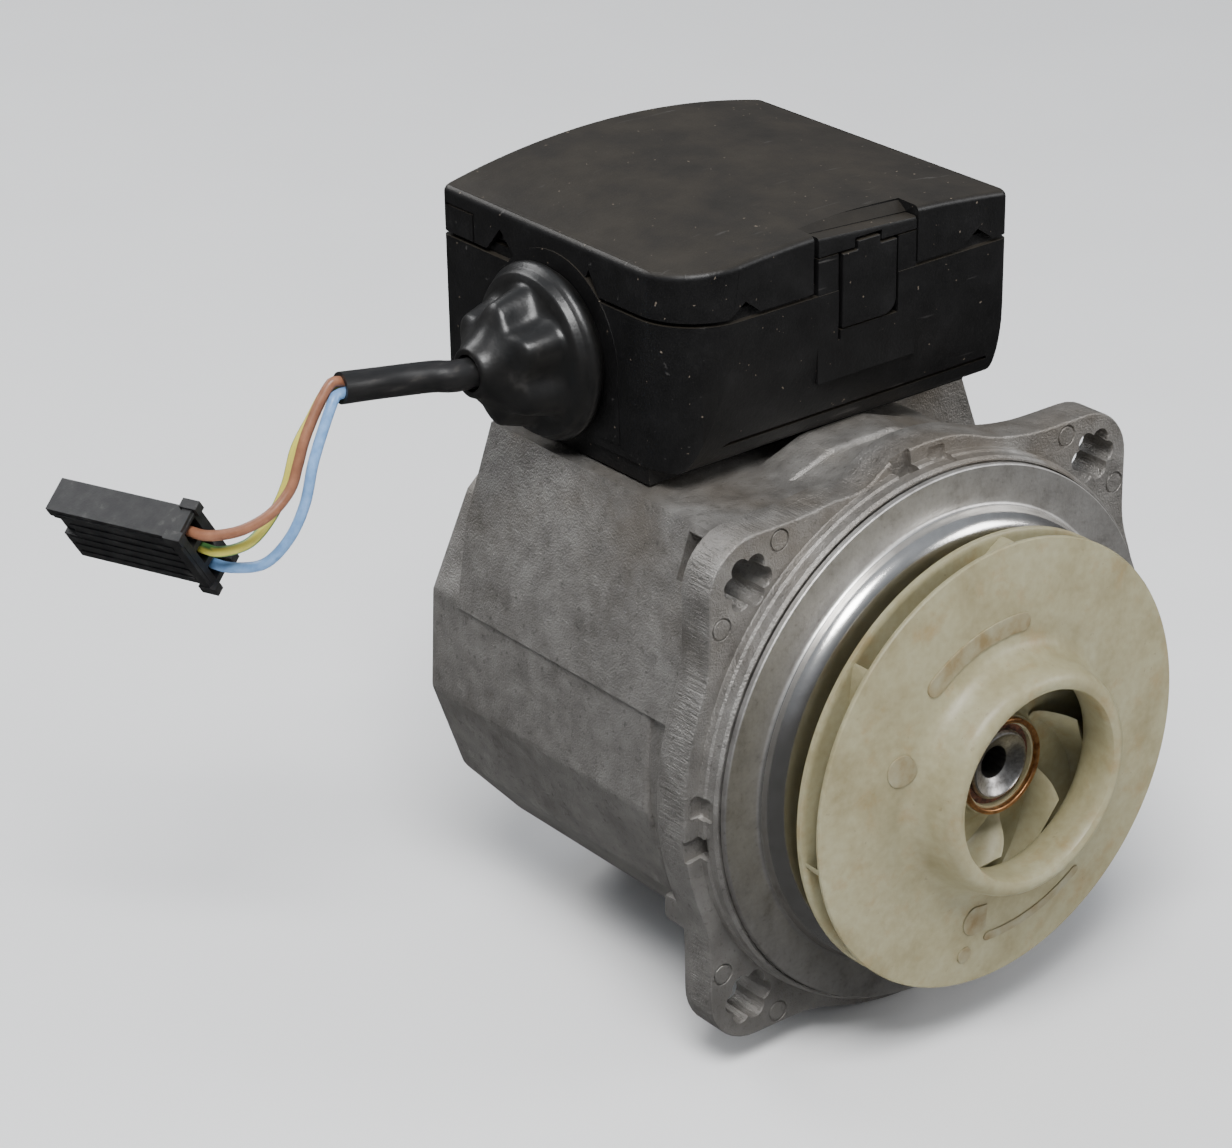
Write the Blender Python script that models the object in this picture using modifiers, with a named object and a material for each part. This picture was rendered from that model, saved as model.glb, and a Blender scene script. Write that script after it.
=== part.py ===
"""Wet-rotor circulator pump head: motor, impeller, terminal box and lead.

Metres, +Z up. The shaft lies along Y and the impeller faces -Y. The origin is on the shaft axis,
in the plane of the bearing plate's sealing ring, where the head meets the pump body.
"""

import math

import bmesh
import bpy
from mathutils import Matrix, Vector

# Driving dimensions
HOLE_PITCH = 0.080
FLANGE_FACE = 0.0055
FLANGE_BACK = 0.0130
FLANGE_RADIUS = 0.0540
FLANGE_HALF_SIDE = 0.0483
LOBE_RADIUS = 0.0083
SPIGOT_RADIUS = 0.0508
PLATE_RADIUS = 0.0498
BODY_RADIUS = 0.0500
BODY_FRONT = 0.0215
BODY_REAR = 0.0850
DECK_HEIGHT = 0.0460
BORE_RADIUS = 0.0434
IMPELLER_RADIUS = 0.0416
EYE_RADIUS = 0.0175
VANES = 7
BOX_HALF_WIDTH = 0.0370
BOX_FRONT = 0.0255
BOX_REAR = 0.0930
BOX_FLOOR = 0.0509
BOX_SEAM = 0.0765
LID_EDGE = 0.0848
LID_CROWN_FRONT = 0.0875
LID_CROWN_REAR = 0.0896
CORNER_RADIUS = 0.0120
GLAND_Y = 0.0605
GLAND_Z = 0.0643
SHEATH_RADIUS = 0.00275
WIRE_RADIUS = 0.00095
GAP = 0.0003
WALL = 0.0022
NECK_RADIUS = 0.0482
HOLE_RADIUS = 0.0045
HOLE_LOBE_DEPTH = 0.0007
SHOULDER_SIDE = 0.0489
SHOULDER_KNEE = (0.0462, 0.0290)
DECK_HALF_WIDTH = 0.0400
DECK_REAR = 0.0760
CAN_RADIUS = 0.0234
CAN_WALL = 0.0005
END_CAP_RADIUS = 0.0117
SHAFT_RADIUS = 0.0064
SHAFT_BORE = 0.0029
BUSH_BORE = 0.0067
LEAD_HOLE_Y = 0.0600
BOX_SCREW = (0.0260, 0.0650)
EARTH_SCREW = (-0.0260, 0.0450)
TERMINAL_PITCH = 0.0080
TERMINAL_Y = 0.0410
CAPACITOR_RADIUS = 0.0100
PLUG_SEAT = 0.0880
CONNECTOR_LENGTH = 0.0280
CONNECTOR_WIDTH = 0.0153
CONNECTOR_THICKNESS = 0.0064
PIN_PITCH = 0.00508

# FORWARD turns local Z to -Y and local Y to Z; LEFTWARD turns local Z to -X.
FORWARD = Matrix.Rotation(math.pi / 2, 4, "X")
LEFTWARD = Matrix.Rotation(-math.pi / 2, 4, "Y")

for leftover in list(bpy.data.objects):
    bpy.data.objects.remove(leftover)

pump = bpy.data.collections.new("circulator_pump")
tools = bpy.data.collections.new("cutters")
bpy.context.scene.collection.children.link(pump)
bpy.context.scene.collection.children.link(tools)


# Materials

def finish(name, colour, roughness, metallic=0.0):
    made = bpy.data.materials.new(name)
    made.use_nodes = True
    shader = made.node_tree.nodes["Principled BSDF"]
    shader.inputs["Base Color"].default_value = (*colour, 1.0)
    shader.inputs["Roughness"].default_value = roughness
    shader.inputs["Metallic"].default_value = metallic
    return made


CAST = finish("cast_aluminium", (0.42, 0.41, 0.39), 0.55, 0.9)
STAINLESS = finish("stainless_steel", (0.60, 0.59, 0.57), 0.25, 1.0)
STEEL = finish("dark_steel", (0.30, 0.29, 0.27), 0.45, 1.0)
LAMINATION = finish("electrical_steel", (0.22, 0.22, 0.23), 0.6, 0.8)
COPPER = finish("enamelled_copper", (0.50, 0.20, 0.09), 0.4, 0.9)
BRASS = finish("brass", (0.62, 0.45, 0.18), 0.35, 1.0)
CARBON = finish("carbon_bush", (0.05, 0.05, 0.05), 0.5)
PLASTIC = finish("box_plastic", (0.020, 0.020, 0.021), 0.55)
GLOSS_BLACK = finish("gland_plastic", (0.012, 0.012, 0.013), 0.3)
NORYL = finish("impeller_plastic", (0.40, 0.38, 0.28), 0.5)
RUBBER = finish("seal_rubber", (0.02, 0.02, 0.02), 0.8)
CREAM = finish("terminal_plastic", (0.55, 0.53, 0.47), 0.5)
SHEATH = finish("lead_sheath", (0.015, 0.015, 0.016), 0.5)
BROWN = finish("wire_brown", (0.25, 0.11, 0.06), 0.45)
GREEN = finish("wire_green_yellow", (0.10, 0.30, 0.08), 0.45)
BLUE = finish("wire_blue", (0.10, 0.25, 0.55), 0.45)


# Building blocks

def add(name, mesh, material=None, place=Matrix()):
    """A new object: a part when it has a material, otherwise a hidden cutter."""
    made = bpy.data.objects.new(name, mesh)
    made.matrix_world = place
    if material:
        pump.objects.link(made)
        mesh.materials.append(material)
    else:
        tools.objects.link(made)
        made.hide_render = True
        made.display_type = "WIRE"
    return made


def block(name, low, high, material=None, place=Matrix()):
    """A box from its lowest corner to its highest one."""
    form = bmesh.new()
    size = Vector(high) - Vector(low)
    middle = (Vector(high) + Vector(low)) / 2
    bmesh.ops.create_cube(form, matrix=Matrix.Translation(middle) @ Matrix.Diagonal((*size, 1)))
    mesh = bpy.data.meshes.new(name)
    form.to_mesh(mesh)
    form.free()
    return add(name, mesh, material, place)


def rod(name, radius, start, end, material=None, sides=24, tip=None):
    """A round bar, or a cone when tip is given, between two points."""
    start = Vector(start)
    along = Vector(end) - start
    turn = along.to_track_quat("Z", "Y").to_matrix().to_4x4()
    form = bmesh.new()
    bmesh.ops.create_cone(
        form, cap_ends=True, segments=sides, radius1=radius,
        radius2=radius if tip is None else tip, depth=along.length,
        matrix=Matrix.Translation(start + along / 2) @ turn,
    )
    mesh = bpy.data.meshes.new(name)
    form.to_mesh(mesh)
    form.free()
    return add(name, mesh, material)


def turned(name, profile, material=None, place=FORWARD, steps=32, closed=True):
    """A turned piece. The profile lists (radius, height), outer side from top to bottom."""
    mesh = bpy.data.meshes.new(name)
    count = len(profile)
    edges = [(i, (i + 1) % count) for i in range(count if closed else count - 1)]
    mesh.from_pydata([(radius, 0, height) for radius, height in profile], edges, [])
    made = add(name, mesh, material, place)
    screw = made.modifiers.new("turn", "SCREW")
    screw.steps = steps
    screw.render_steps = steps
    screw.use_merge_vertices = True
    screw.merge_threshold = 0.00001
    return made


def ring(name, inner, outer, low, high, material=None, place=FORWARD, steps=24):
    return turned(
        name, [(outer, high), (outer, low), (inner, low), (inner, high)], material, place, steps
    )


def plate(name, outline, low, high, material=None, place=Matrix()):
    """A flat outline in X and Y, extruded from low to high along Z."""
    curve = bpy.data.curves.new(name, "CURVE")
    curve.dimensions = "2D"
    curve.fill_mode = "BOTH"
    curve.extrude = (high - low) / 2
    spline = curve.splines.new("POLY")
    spline.points.add(len(outline) - 1)
    for point, (x, y) in zip(spline.points, outline):
        point.co = (x, y, 0, 1)
    spline.use_cyclic_u = True
    flat = bpy.data.objects.new(name + "_outline", curve)
    tools.objects.link(flat)
    graph = bpy.context.evaluated_depsgraph_get()
    mesh = bpy.data.meshes.new_from_object(flat.evaluated_get(graph))
    bpy.data.objects.remove(flat)
    mesh.name = name
    mesh.materials.clear()
    form = bmesh.new()
    form.from_mesh(mesh)
    bmesh.ops.remove_doubles(form, verts=form.verts, dist=0.000001)
    bmesh.ops.translate(form, verts=form.verts, vec=(0, 0, (high + low) / 2))
    bmesh.ops.recalc_face_normals(form, faces=form.faces)
    form.to_mesh(mesh)
    form.free()
    return add(name, mesh, material, place)


def combine(piece, other, operation):
    change = piece.modifiers.new(operation.lower(), "BOOLEAN")
    change.operation = operation
    change.object = other
    return piece


def cut(piece, *others):
    for other in others:
        combine(piece, other, "DIFFERENCE")


def join(piece, *others):
    for other in others:
        combine(piece, other, "UNION")


def tube(name, route, radius, material, sides=2):
    """A lead or wire along a route of points, smoothed by Catmull-Rom curves."""
    points = smooth_route(route, radius * 5)
    curve = bpy.data.curves.new(name, "CURVE")
    curve.dimensions = "3D"
    curve.bevel_depth = radius
    curve.bevel_resolution = sides
    curve.use_fill_caps = True
    spline = curve.splines.new("POLY")
    spline.points.add(len(points) - 1)
    for point, place in zip(spline.points, points):
        point.co = (*place, 1)
    made = bpy.data.objects.new(name, curve)
    pump.objects.link(made)
    curve.materials.append(material)
    return made


def smooth_route(route, spacing):
    points = [Vector(point) for point in route]
    ends = [2 * points[0] - points[1], *points, 2 * points[-1] - points[-2]]
    result = []
    for i in range(1, len(ends) - 2):
        before, start, end, after = ends[i - 1:i + 3]
        pieces = max(1, round((end - start).length / spacing))
        for j in range(pieces):
            t = j / pieces
            result.append(0.5 * (
                2 * start + (end - before) * t
                + (2 * before - 5 * start + 4 * end - after) * t ** 2
                + (3 * start - before - 3 * end + after) * t ** 3
            ))
    result.append(points[-1])
    return result


# Outlines

def flange_radius(angle):
    """Distance from the axis to the flange's edge: a disc joined smoothly to a rounded square."""
    across = abs(math.cos(angle))
    up = abs(math.sin(angle))
    corner = FLANGE_HALF_SIDE - LOBE_RADIUS
    side = FLANGE_HALF_SIDE / max(across, up)
    if min(across, up) * side > corner:
        half = corner * (across + up)
        side = half + math.sqrt(half ** 2 - 2 * corner ** 2 + LOBE_RADIUS ** 2)
    blend = 40
    return (side ** blend + FLANGE_RADIUS ** blend) ** (1 / blend)


def flange_outline(count=96):
    angles = [2 * math.pi * (i + 0.5) / count for i in range(count)]
    return [(flange_radius(a) * math.cos(a), flange_radius(a) * math.sin(a)) for a in angles]


def star_outline(radius, depth, lobes=6, count=48):
    angles = [2 * math.pi * i / count for i in range(count)]
    reach = [radius + depth * math.cos(lobes * a) for a in angles]
    return [(r * math.cos(a), r * math.sin(a)) for r, a in zip(reach, angles)]


def arc(centre, radius, start, end, count):
    """Points on an arc, in degrees."""
    angles = [math.radians(start + (end - start) * i / count) for i in range(count + 1)]
    return [(centre[0] + radius * math.cos(a), centre[1] + radius * math.sin(a)) for a in angles]


def facets():
    """The motor body's outline: flats of 22.5 degrees down each side and over the crown."""
    side_corners = [14.5 - 22.5 * i for i in range(5)]
    crown_corners = (143, 120.5, 98, 82, 59.5, 37)
    corners = [*side_corners, *(180 - a for a in reversed(side_corners)), *crown_corners]
    return [
        (BODY_RADIUS * math.cos(math.radians(a)), BODY_RADIUS * math.sin(math.radians(a)))
        for a in corners
    ]


def box_outline(inset=0.0):
    """The terminal box seen from above, with its one large corner at the front left."""
    side = BOX_HALF_WIDTH - inset
    front = BOX_FRONT + inset
    rear = BOX_REAR - inset
    radius = CORNER_RADIUS - inset
    corner = arc((-side + radius, front + radius), radius, 180, 270, 6)
    return [*corner, (side, front), (side, rear), (-side, rear)]


def lid_section(inset=0.0):
    """Across the lid: flat below, one shallow arch above."""
    side = BOX_HALF_WIDTH - inset + (0.002 if inset == 0 else 0)
    steps = 12
    arch = []
    for i in range(steps + 1):
        t = -1 + 2 * i / steps
        arch.append((-t * side, LID_EDGE - inset + (LID_CROWN_FRONT - LID_EDGE) * (1 - t * t)))
    base = BOX_SEAM + GAP if inset == 0 else BOX_SEAM - 0.002
    return [(-side, base), (side, base), *arch]


def along_y(name, outline, front, rear, material=None):
    """An outline in X and Z, extruded from front to rear: it is drawn flat and stood up."""
    return plate(name, outline, -rear, -front, material, FORWARD)


def upright(name, radius, x, y, bottom, top=0.060):
    """A cutter for a vertical hole."""
    return rod(name, radius, (x, y, bottom), (x, y, top))


# Motor housing: one die casting with the flange, the faceted body and the deck for the box

housing = along_y("motor_housing", facets(), BODY_FRONT, BODY_REAR, CAST)
neck = rod("neck", NECK_RADIUS, (0, FLANGE_BACK - 0.002, 0), (0, BODY_FRONT + 0.002, 0), sides=48)
flange = along_y("flange_plate", flange_outline(), FLANGE_FACE, FLANGE_BACK)
spigot = rod("spigot", SPIGOT_RADIUS, (0, FLANGE_FACE + 0.004, 0), (0, 0.0015, 0), sides=48)
shoulder_foot = 0.0120
shoulder_outline = [
    (SHOULDER_SIDE, shoulder_foot), (0, shoulder_foot), (0, DECK_HEIGHT),
    (DECK_HALF_WIDTH, DECK_HEIGHT), SHOULDER_KNEE,
]
left_shoulder = along_y(
    "left_shoulder", [(-x, z) for x, z in reversed(shoulder_outline)],
    FLANGE_BACK - 0.0015, DECK_REAR,
)
right_shoulder = along_y("right_shoulder", shoulder_outline, 0.0400, DECK_REAR)
rear_boss = ring("rear_boss", 0.010, 0.017, -BODY_REAR - 0.0025, -BODY_REAR + 0.005)
join(housing, neck, flange, spigot, left_shoulder, right_shoulder, rear_boss)
cut(
    housing,
    block("deck_cut", (-0.041, 0.030, DECK_HEIGHT - 0.0002), (0.041, 0.090, 0.060)),
    turned("stator_bore", [
        (0, 0.001), (BORE_RADIUS, 0.001), (BORE_RADIUS, -0.0805), (0.012, -0.0805),
        (0.012, -0.092), (0, -0.092),
    ], closed=False, steps=48),
)
for number in range(4):
    corner_angle = math.radians(45 + 90 * number)
    corner = Vector((math.cos(corner_angle), 0, math.sin(corner_angle))) * HOLE_PITCH / math.sqrt(2)
    star = along_y(f"star_hole_{number}", star_outline(HOLE_RADIUS, HOLE_LOBE_DEPTH), 0.003, 0.020)
    star.location = corner
    cut(housing, star)
    drain_turn = Matrix.Rotation(math.radians(174.5 - 90 * number), 4, "Y")
    drain = block(
        f"drain_{number}", (0.0492, 0.0020, -0.0022), (0.0580, 0.0085, 0.0022), place=drain_turn
    )
    cut(housing, drain)
cut(
    housing,
    upright("lead_way", 0.0070, 0, LEAD_HOLE_Y, 0.040),
    upright("screw_pilot_left", 0.0019, -BOX_SCREW[0], BOX_SCREW[1], 0.038),
    upright("screw_pilot_right", 0.0019, *BOX_SCREW, 0.038),
    upright("earth_pilot", 0.0023, *EARTH_SCREW, 0.038),
)


# Stator: laminated stack, its two end windings, and the stainless can that keeps the water out

ring("stator_stack", CAN_RADIUS + 0.0004, BORE_RADIUS - GAP, -0.060, -0.020, LAMINATION)
for name, low, high in (("winding_front", -0.0197, -0.0100), ("winding_rear", -0.0705, -0.0603)):
    turned(name, [
        (0.0360, high), (0.0400, high - 0.002), (0.0400, low + 0.002), (0.0360, low),
        (0.0290, low), (0.0265, low + 0.002), (0.0265, high - 0.002), (0.0290, high),
    ], COPPER)
can_inside = CAN_RADIUS - CAN_WALL
cap_inside = END_CAP_RADIUS - CAN_WALL
turned("rotor_can", [
    (0.0265, -0.0030), (0.0265, -0.0036), (CAN_RADIUS, -0.0036), (CAN_RADIUS, -0.0640),
    (END_CAP_RADIUS, -0.0640), (END_CAP_RADIUS, -0.0800), (cap_inside, -0.0800),
    (cap_inside, -0.0635), (can_inside, -0.0635), (can_inside, -0.0030),
], STAINLESS)


# Bearing plate: pressed stainless, with the flat sealing ring and the rounded shoulder

shoulder = arc((0.0386, 0.0008), 0.0038, 0, 80, 5)
under = arc((0.0386, 0.0008), 0.0028, 80, 0, 4)
turned("bearing_plate", [
    (0.0120, 0.0046), *[(r, z) for r, z in reversed(shoulder)], (0.0430, 0.0),
    (PLATE_RADIUS, 0.0), (PLATE_RADIUS, -0.0011), (0.0414, -0.0011),
    *[(r, z) for r, z in reversed(under)], (0.0130, 0.0036), (0.0130, -0.0060), (0.0120, -0.0060),
], STAINLESS, steps=48)
ring("can_seal", 0.0272, 0.0300, -0.0042, -0.0018, RUBBER)
ring("front_bearing", BUSH_BORE, 0.0117, -0.0055, 0.0043, CARBON)
ring("rear_bearing", BUSH_BORE, 0.0109, -0.0720, -0.0645, CARBON)


# Rotor: hollow shaft, canned core, thrust ring and the closed impeller

ring("shaft", SHAFT_BORE, SHAFT_RADIUS, -0.0715, 0.0146, STEEL)
turned("rotor_core", [
    (0.0218, -0.0150), (0.0224, -0.0156), (0.0224, -0.0584), (0.0218, -0.0590),
    (0.0066, -0.0590), (0.0066, -0.0150),
], STAINLESS)
ring("thrust_ring", 0.0066, 0.0105, -0.0146, -0.0068, CARBON)
vane_start = 0.0130
vane_end = IMPELLER_RADIUS - 0.0004
vane_half_thickness = 0.0007
vane_sweep = math.radians(75)
vane_points = 9
impeller = turned("impeller_back", [
    (0.0090, 0.0140), (0.0105, 0.0120), (0.0150, 0.0100), (IMPELLER_RADIUS, 0.0099),
    (IMPELLER_RADIUS, 0.0085), (0.0170, 0.0085), (0.0140, 0.0065), (0.0067, 0.0065),
    (0.0067, 0.0105), (0.0076, 0.0105), (0.0076, 0.0140),
], NORYL, steps=48)
for number in range(VANES):
    turn = 2 * math.pi * number / VANES
    centre_line = []
    for step in range(vane_points):
        share = step / (vane_points - 1)
        radius = vane_start + (vane_end - vane_start) * share
        centre_line.append((radius, turn + vane_sweep * share ** 0.8))
    half = vane_half_thickness
    left = [(r * math.cos(a - half / r), r * math.sin(a - half / r)) for r, a in centre_line]
    right = [(r * math.cos(a + half / r), r * math.sin(a + half / r)) for r, a in centre_line]
    vane = plate(f"vane_{number}", left + right[::-1], 0.0094, 0.0131, place=FORWARD)
    join(impeller, vane)
turned("impeller_front", [
    (0.0205, 0.0203), (0.0222, 0.0192), (0.0235, 0.0172), (0.0270, 0.0158),
    (IMPELLER_RADIUS, 0.0145), (IMPELLER_RADIUS, 0.0134), (0.0280, 0.0134),
    (0.0195, 0.0140), (EYE_RADIUS, 0.0160), (EYE_RADIUS, 0.0192), (0.0185, 0.0203),
], NORYL, steps=48)
ring("hub_ring", 0.0079, 0.0090, 0.0142, 0.0150, COPPER)


# Vent plug in the middle of the rear face, with its seal

plug = turned("vent_plug", [
    (0, -0.0740), (0.0060, -0.0740), (0.0075, -0.0760), (0.0075, -PLUG_SEAT), (0.0140, -PLUG_SEAT),
    (0.0140, -PLUG_SEAT - 0.0025), (0.0130, -PLUG_SEAT - 0.0035), (0, -PLUG_SEAT - 0.0035),
], BRASS, closed=False)
cut(plug, block("plug_slot", (-0.0100, PLUG_SEAT + 0.0018, -0.0011), (0.0100, 0.0930, 0.0011)))
ring("vent_plug_seal", 0.0079, 0.0110, 0.0004 - PLUG_SEAT, 0.0024 - PLUG_SEAT, RUBBER)


# Terminal box base: a tray on the deck, with the catch tower in its front wall

base = plate("terminal_box_base", box_outline(), BOX_FLOOR, BOX_SEAM, PLASTIC)
tray = plate("tray_inside", box_outline(WALL), BOX_FLOOR + WALL, BOX_SEAM + 0.010)
pedestal = block("pedestal", (-0.0368, 0.0355, DECK_HEIGHT + GAP), (0.0368, 0.0755, BOX_FLOOR + 0.001))
tower = block("catch_tower", (-0.0077, BOX_FRONT, 0.0600), (0.0153, BOX_FRONT + 0.0050, 0.0830))
catch_recess = block("catch_recess", (-0.0025, 0.0200, 0.0655), (0.0110, 0.0272, 0.0900))
cut(base, tray)
join(base, pedestal, tower)
cut(
    base,
    catch_recess,
    rod("gland_hole", 0.0085, (-0.050, GLAND_Y, GLAND_Z), (-0.030, GLAND_Y, GLAND_Z)),
    upright("base_lead_way", 0.0060, 0, LEAD_HOLE_Y, 0.040),
    upright("base_hole_left", 0.0021, -BOX_SCREW[0], BOX_SCREW[1], 0.040),
    upright("base_hole_right", 0.0021, *BOX_SCREW, 0.040),
    upright("base_hole_earth", 0.0026, *EARTH_SCREW, 0.040),
)

# Cover: an arched lid, hooked at the rear edge, with the catch tongue on its front

cover = along_y("terminal_box_cover", lid_section(), BOX_FRONT - 0.001, BOX_REAR + 0.001, PLASTIC)
hollow = along_y("lid_hollow", lid_section(WALL), BOX_FRONT + WALL, BOX_REAR - WALL)
for lid in (cover, hollow):
    for vertex in lid.data.vertices:
        above = vertex.co.y - LID_EDGE + (WALL if lid == hollow else 0)
        share = (-vertex.co.z - BOX_FRONT) / (BOX_REAR - BOX_FRONT)
        if above > 0:
            rise = 1 + share * (LID_CROWN_REAR - LID_CROWN_FRONT) / (LID_CROWN_FRONT - LID_EDGE)
            vertex.co.y += above * (rise - 1)
combine(cover, plate("lid_outline", box_outline(), 0.070, 0.100), "INTERSECT")
cut(
    cover,
    combine(hollow, plate("lid_inside", box_outline(WALL), 0.060, 0.100), "INTERSECT"),
    block("tower_gap", (-0.0081, 0.0200, 0.0700), (0.0157, BOX_FRONT + 0.0056, 0.0834)),
)
latch = block("cover_latch", (-0.0020, 0.0256, 0.0662), (0.0105, 0.0268, 0.0830), PLASTIC)
cut(latch, block("pry_notch", (0.0020, 0.0250, 0.0805), (0.0070, 0.0262, 0.0840)))


# Inside the box: terminal block, its screws, run capacitor, earth screw and fixing screws

terminals = block("terminal_block", (-0.0130, 0.0340, 0.0534), (0.0130, 0.0480, 0.0650), CREAM)
for number, x in enumerate((-TERMINAL_PITCH, 0.0, TERMINAL_PITCH), 1):
    y = TERMINAL_Y
    cut(
        terminals,
        rod(f"terminal_bore_{number}", 0.0021, (x, y, 0.0560), (x, y, 0.0700), sides=16),
        rod(f"terminal_entry_{number}", 0.0014, (x, 0.030, 0.0570), (x, 0.052, 0.0570), sides=12),
    )
    screw = rod(f"terminal_screw_{number}", 0.0018, (x, y, 0.0590), (x, y, 0.0644), BRASS, 16)
    cut(screw, block(
        f"terminal_slot_{number}", (x - 0.003, y - 0.0003, 0.0636), (x + 0.003, y + 0.0003, 0.0660)
    ))
rod(
    "run_capacitor", CAPACITOR_RADIUS,
    (-0.0060, 0.0802, GLAND_Z - 0.0003), (0.0320, 0.0802, GLAND_Z - 0.0003), CREAM, 32,
)


def fastener(name, x, y, seat, head, shank, length):
    """A pan-head screw standing in the floor of the box, slotted across its head."""
    screw = turned(name, [
        (0, 0.0022), (head * 0.8, 0.0022), (head, 0.0012), (head, 0), (shank, 0),
        (shank, -length), (0, -length),
    ], BRASS if name == "earth_screw" else STEEL, Matrix.Translation((x, y, seat)), 20, False)
    cut(screw, block(
        name + "_slot", (x - 0.006, y - 0.0004, seat + 0.0012), (x + 0.006, y + 0.0004, seat + 0.004)
    ))
    return screw


floor_top = BOX_FLOOR + WALL
fastener("box_screw_left", -BOX_SCREW[0], BOX_SCREW[1], floor_top + GAP, 0.0035, 0.0015, 0.0120)
fastener("box_screw_right", *BOX_SCREW, floor_top + GAP, 0.0035, 0.0015, 0.0120)
fastener("earth_screw", *EARTH_SCREW, floor_top + 0.0014, 0.0036, 0.0018, 0.0130)
ring("earth_tag", 0.0022, 0.0042, 0.0003, 0.0011, BRASS, Matrix.Translation(
    (*EARTH_SCREW, floor_top)
), 24)


# Gland: the fluted black boot outside and the cord grip inside

boot_place = Matrix.Translation((-BOX_HALF_WIDTH, GLAND_Y, GLAND_Z)) @ LEFTWARD
boot = turned("cable_boot", [
    (0.0044, 0.0188), (0.0062, 0.0165), (0.0095, 0.0120), (0.0122, 0.0085), (0.0126, 0.0066),
    (0.0145, 0.0062), (0.0158, 0.0048), (0.0160, 0.0030), (0.0155, 0.0012), (0.0140, 0.0003),
    (0.0078, 0.0003), (0.0078, -0.0035), (0.0031, -0.0035), (0.0031, 0.0188),
], GLOSS_BLACK, boot_place, 36)
grip = block("cord_grip", (-0.0300, 0.0545, 0.0580), (-0.0240, 0.0665, 0.0706), CREAM)
cut(grip, rod("grip_bore", 0.0031, (-0.034, GLAND_Y, GLAND_Z), (-0.018, GLAND_Y, GLAND_Z)))


# Lead: black sheath, three single wires and the connector on its end

SHEATH_ROUTE = [
    (-0.0215, 0.0605, 0.0643), (-0.0370, 0.0605, 0.0643), (-0.0560, 0.0606, 0.0643),
    (-0.0620, 0.0625, 0.0648), (-0.0698, 0.0650, 0.0651), (-0.0783, 0.0660, 0.0660),
]
tube("lead_sheath", SHEATH_ROUTE, SHEATH_RADIUS, SHEATH, 3)
BROWN_ROUTE = [
    (-0.0793, 0.0661, 0.0674), (-0.0805, 0.0662, 0.0667), (-0.0832, 0.0660, 0.0634),
    (-0.0862, 0.0655, 0.0590), (-0.0880, 0.0652, 0.0550), (-0.0900, 0.0650, 0.0510),
    (-0.0940, 0.0655, 0.0475), (-0.0985, 0.0680, 0.0450), (-0.1024, 0.0717, 0.0440),
    (-0.1039, 0.0754, 0.0440),
]
EARTH_ROUTE = [
    (-0.0794, 0.0673, 0.0655), (-0.0806, 0.0677, 0.0647), (-0.0830, 0.0680, 0.0612),
    (-0.0864, 0.0681, 0.0565), (-0.0886, 0.0682, 0.0505), (-0.0914, 0.0690, 0.0452),
    (-0.0955, 0.0700, 0.0412), (-0.0997, 0.0728, 0.0398), (-0.1012, 0.0765, 0.0398),
]
BLUE_ROUTE = [
    (-0.0795, 0.0649, 0.0655), (-0.0808, 0.0644, 0.0649), (-0.0835, 0.0636, 0.0610),
    (-0.0864, 0.0630, 0.0555), (-0.0884, 0.0632, 0.0485), (-0.0908, 0.0650, 0.0422),
    (-0.0935, 0.0690, 0.0370), (-0.0970, 0.0739, 0.0356), (-0.0985, 0.0776, 0.0356),
]
tube("wire_brown", BROWN_ROUTE, WIRE_RADIUS, BROWN)
tube("wire_green_yellow", EARTH_ROUTE, WIRE_RADIUS, GREEN)
tube("wire_blue", BLUE_ROUTE, WIRE_RADIUS, BLUE)

# The connector's own axes: X across its pins, Y towards its mating end, Z through its thickness.
CONNECTOR_MOUTH = Vector((-0.1008, 0.0756, 0.0398))
pin_row = Vector((0.532, 0.218, -0.818)).normalized()
mating = Vector((-0.381, 0.925, 0.001))
mating = (mating - mating.dot(pin_row) * pin_row).normalized()
through = pin_row.cross(mating)
connector_place = Matrix.Translation(CONNECTOR_MOUTH) @ Matrix(
    (pin_row, mating, through)
).transposed().to_4x4()
half_width = CONNECTOR_WIDTH / 2
half_thick = CONNECTOR_THICKNESS / 2
connector = block(
    "connector_housing", (-half_width, 0, -half_thick),
    (half_width, CONNECTOR_LENGTH, half_thick), GLOSS_BLACK, connector_place,
)
join(connector, block(
    "connector_rim", (-half_width - 0.0008, 0.0001, -half_thick - 0.0007),
    (half_width + 0.0008, 0.0022, half_thick + 0.0007), place=connector_place,
))
for number, x in enumerate((-PIN_PITCH, 0.0, PIN_PITCH), 1):
    cut(connector, block(
        f"connector_cell_{number}", (x - 0.0019, -0.002, -0.0019),
        (x + 0.0019, CONNECTOR_LENGTH + 0.002, 0.0019), place=connector_place,
    ))
    block(
        f"contact_{number}", (x - 0.0012, 0.0040, -0.0012), (x + 0.0012, 0.0230, 0.0012),
        BRASS, connector_place,
    )
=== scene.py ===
"""Looks of a circulator pump head: its cast motor, plate, impeller, terminal box and lead."""

import math

import bmesh
import bpy
from mathutils import Matrix, Quaternion, Vector, noise


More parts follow.
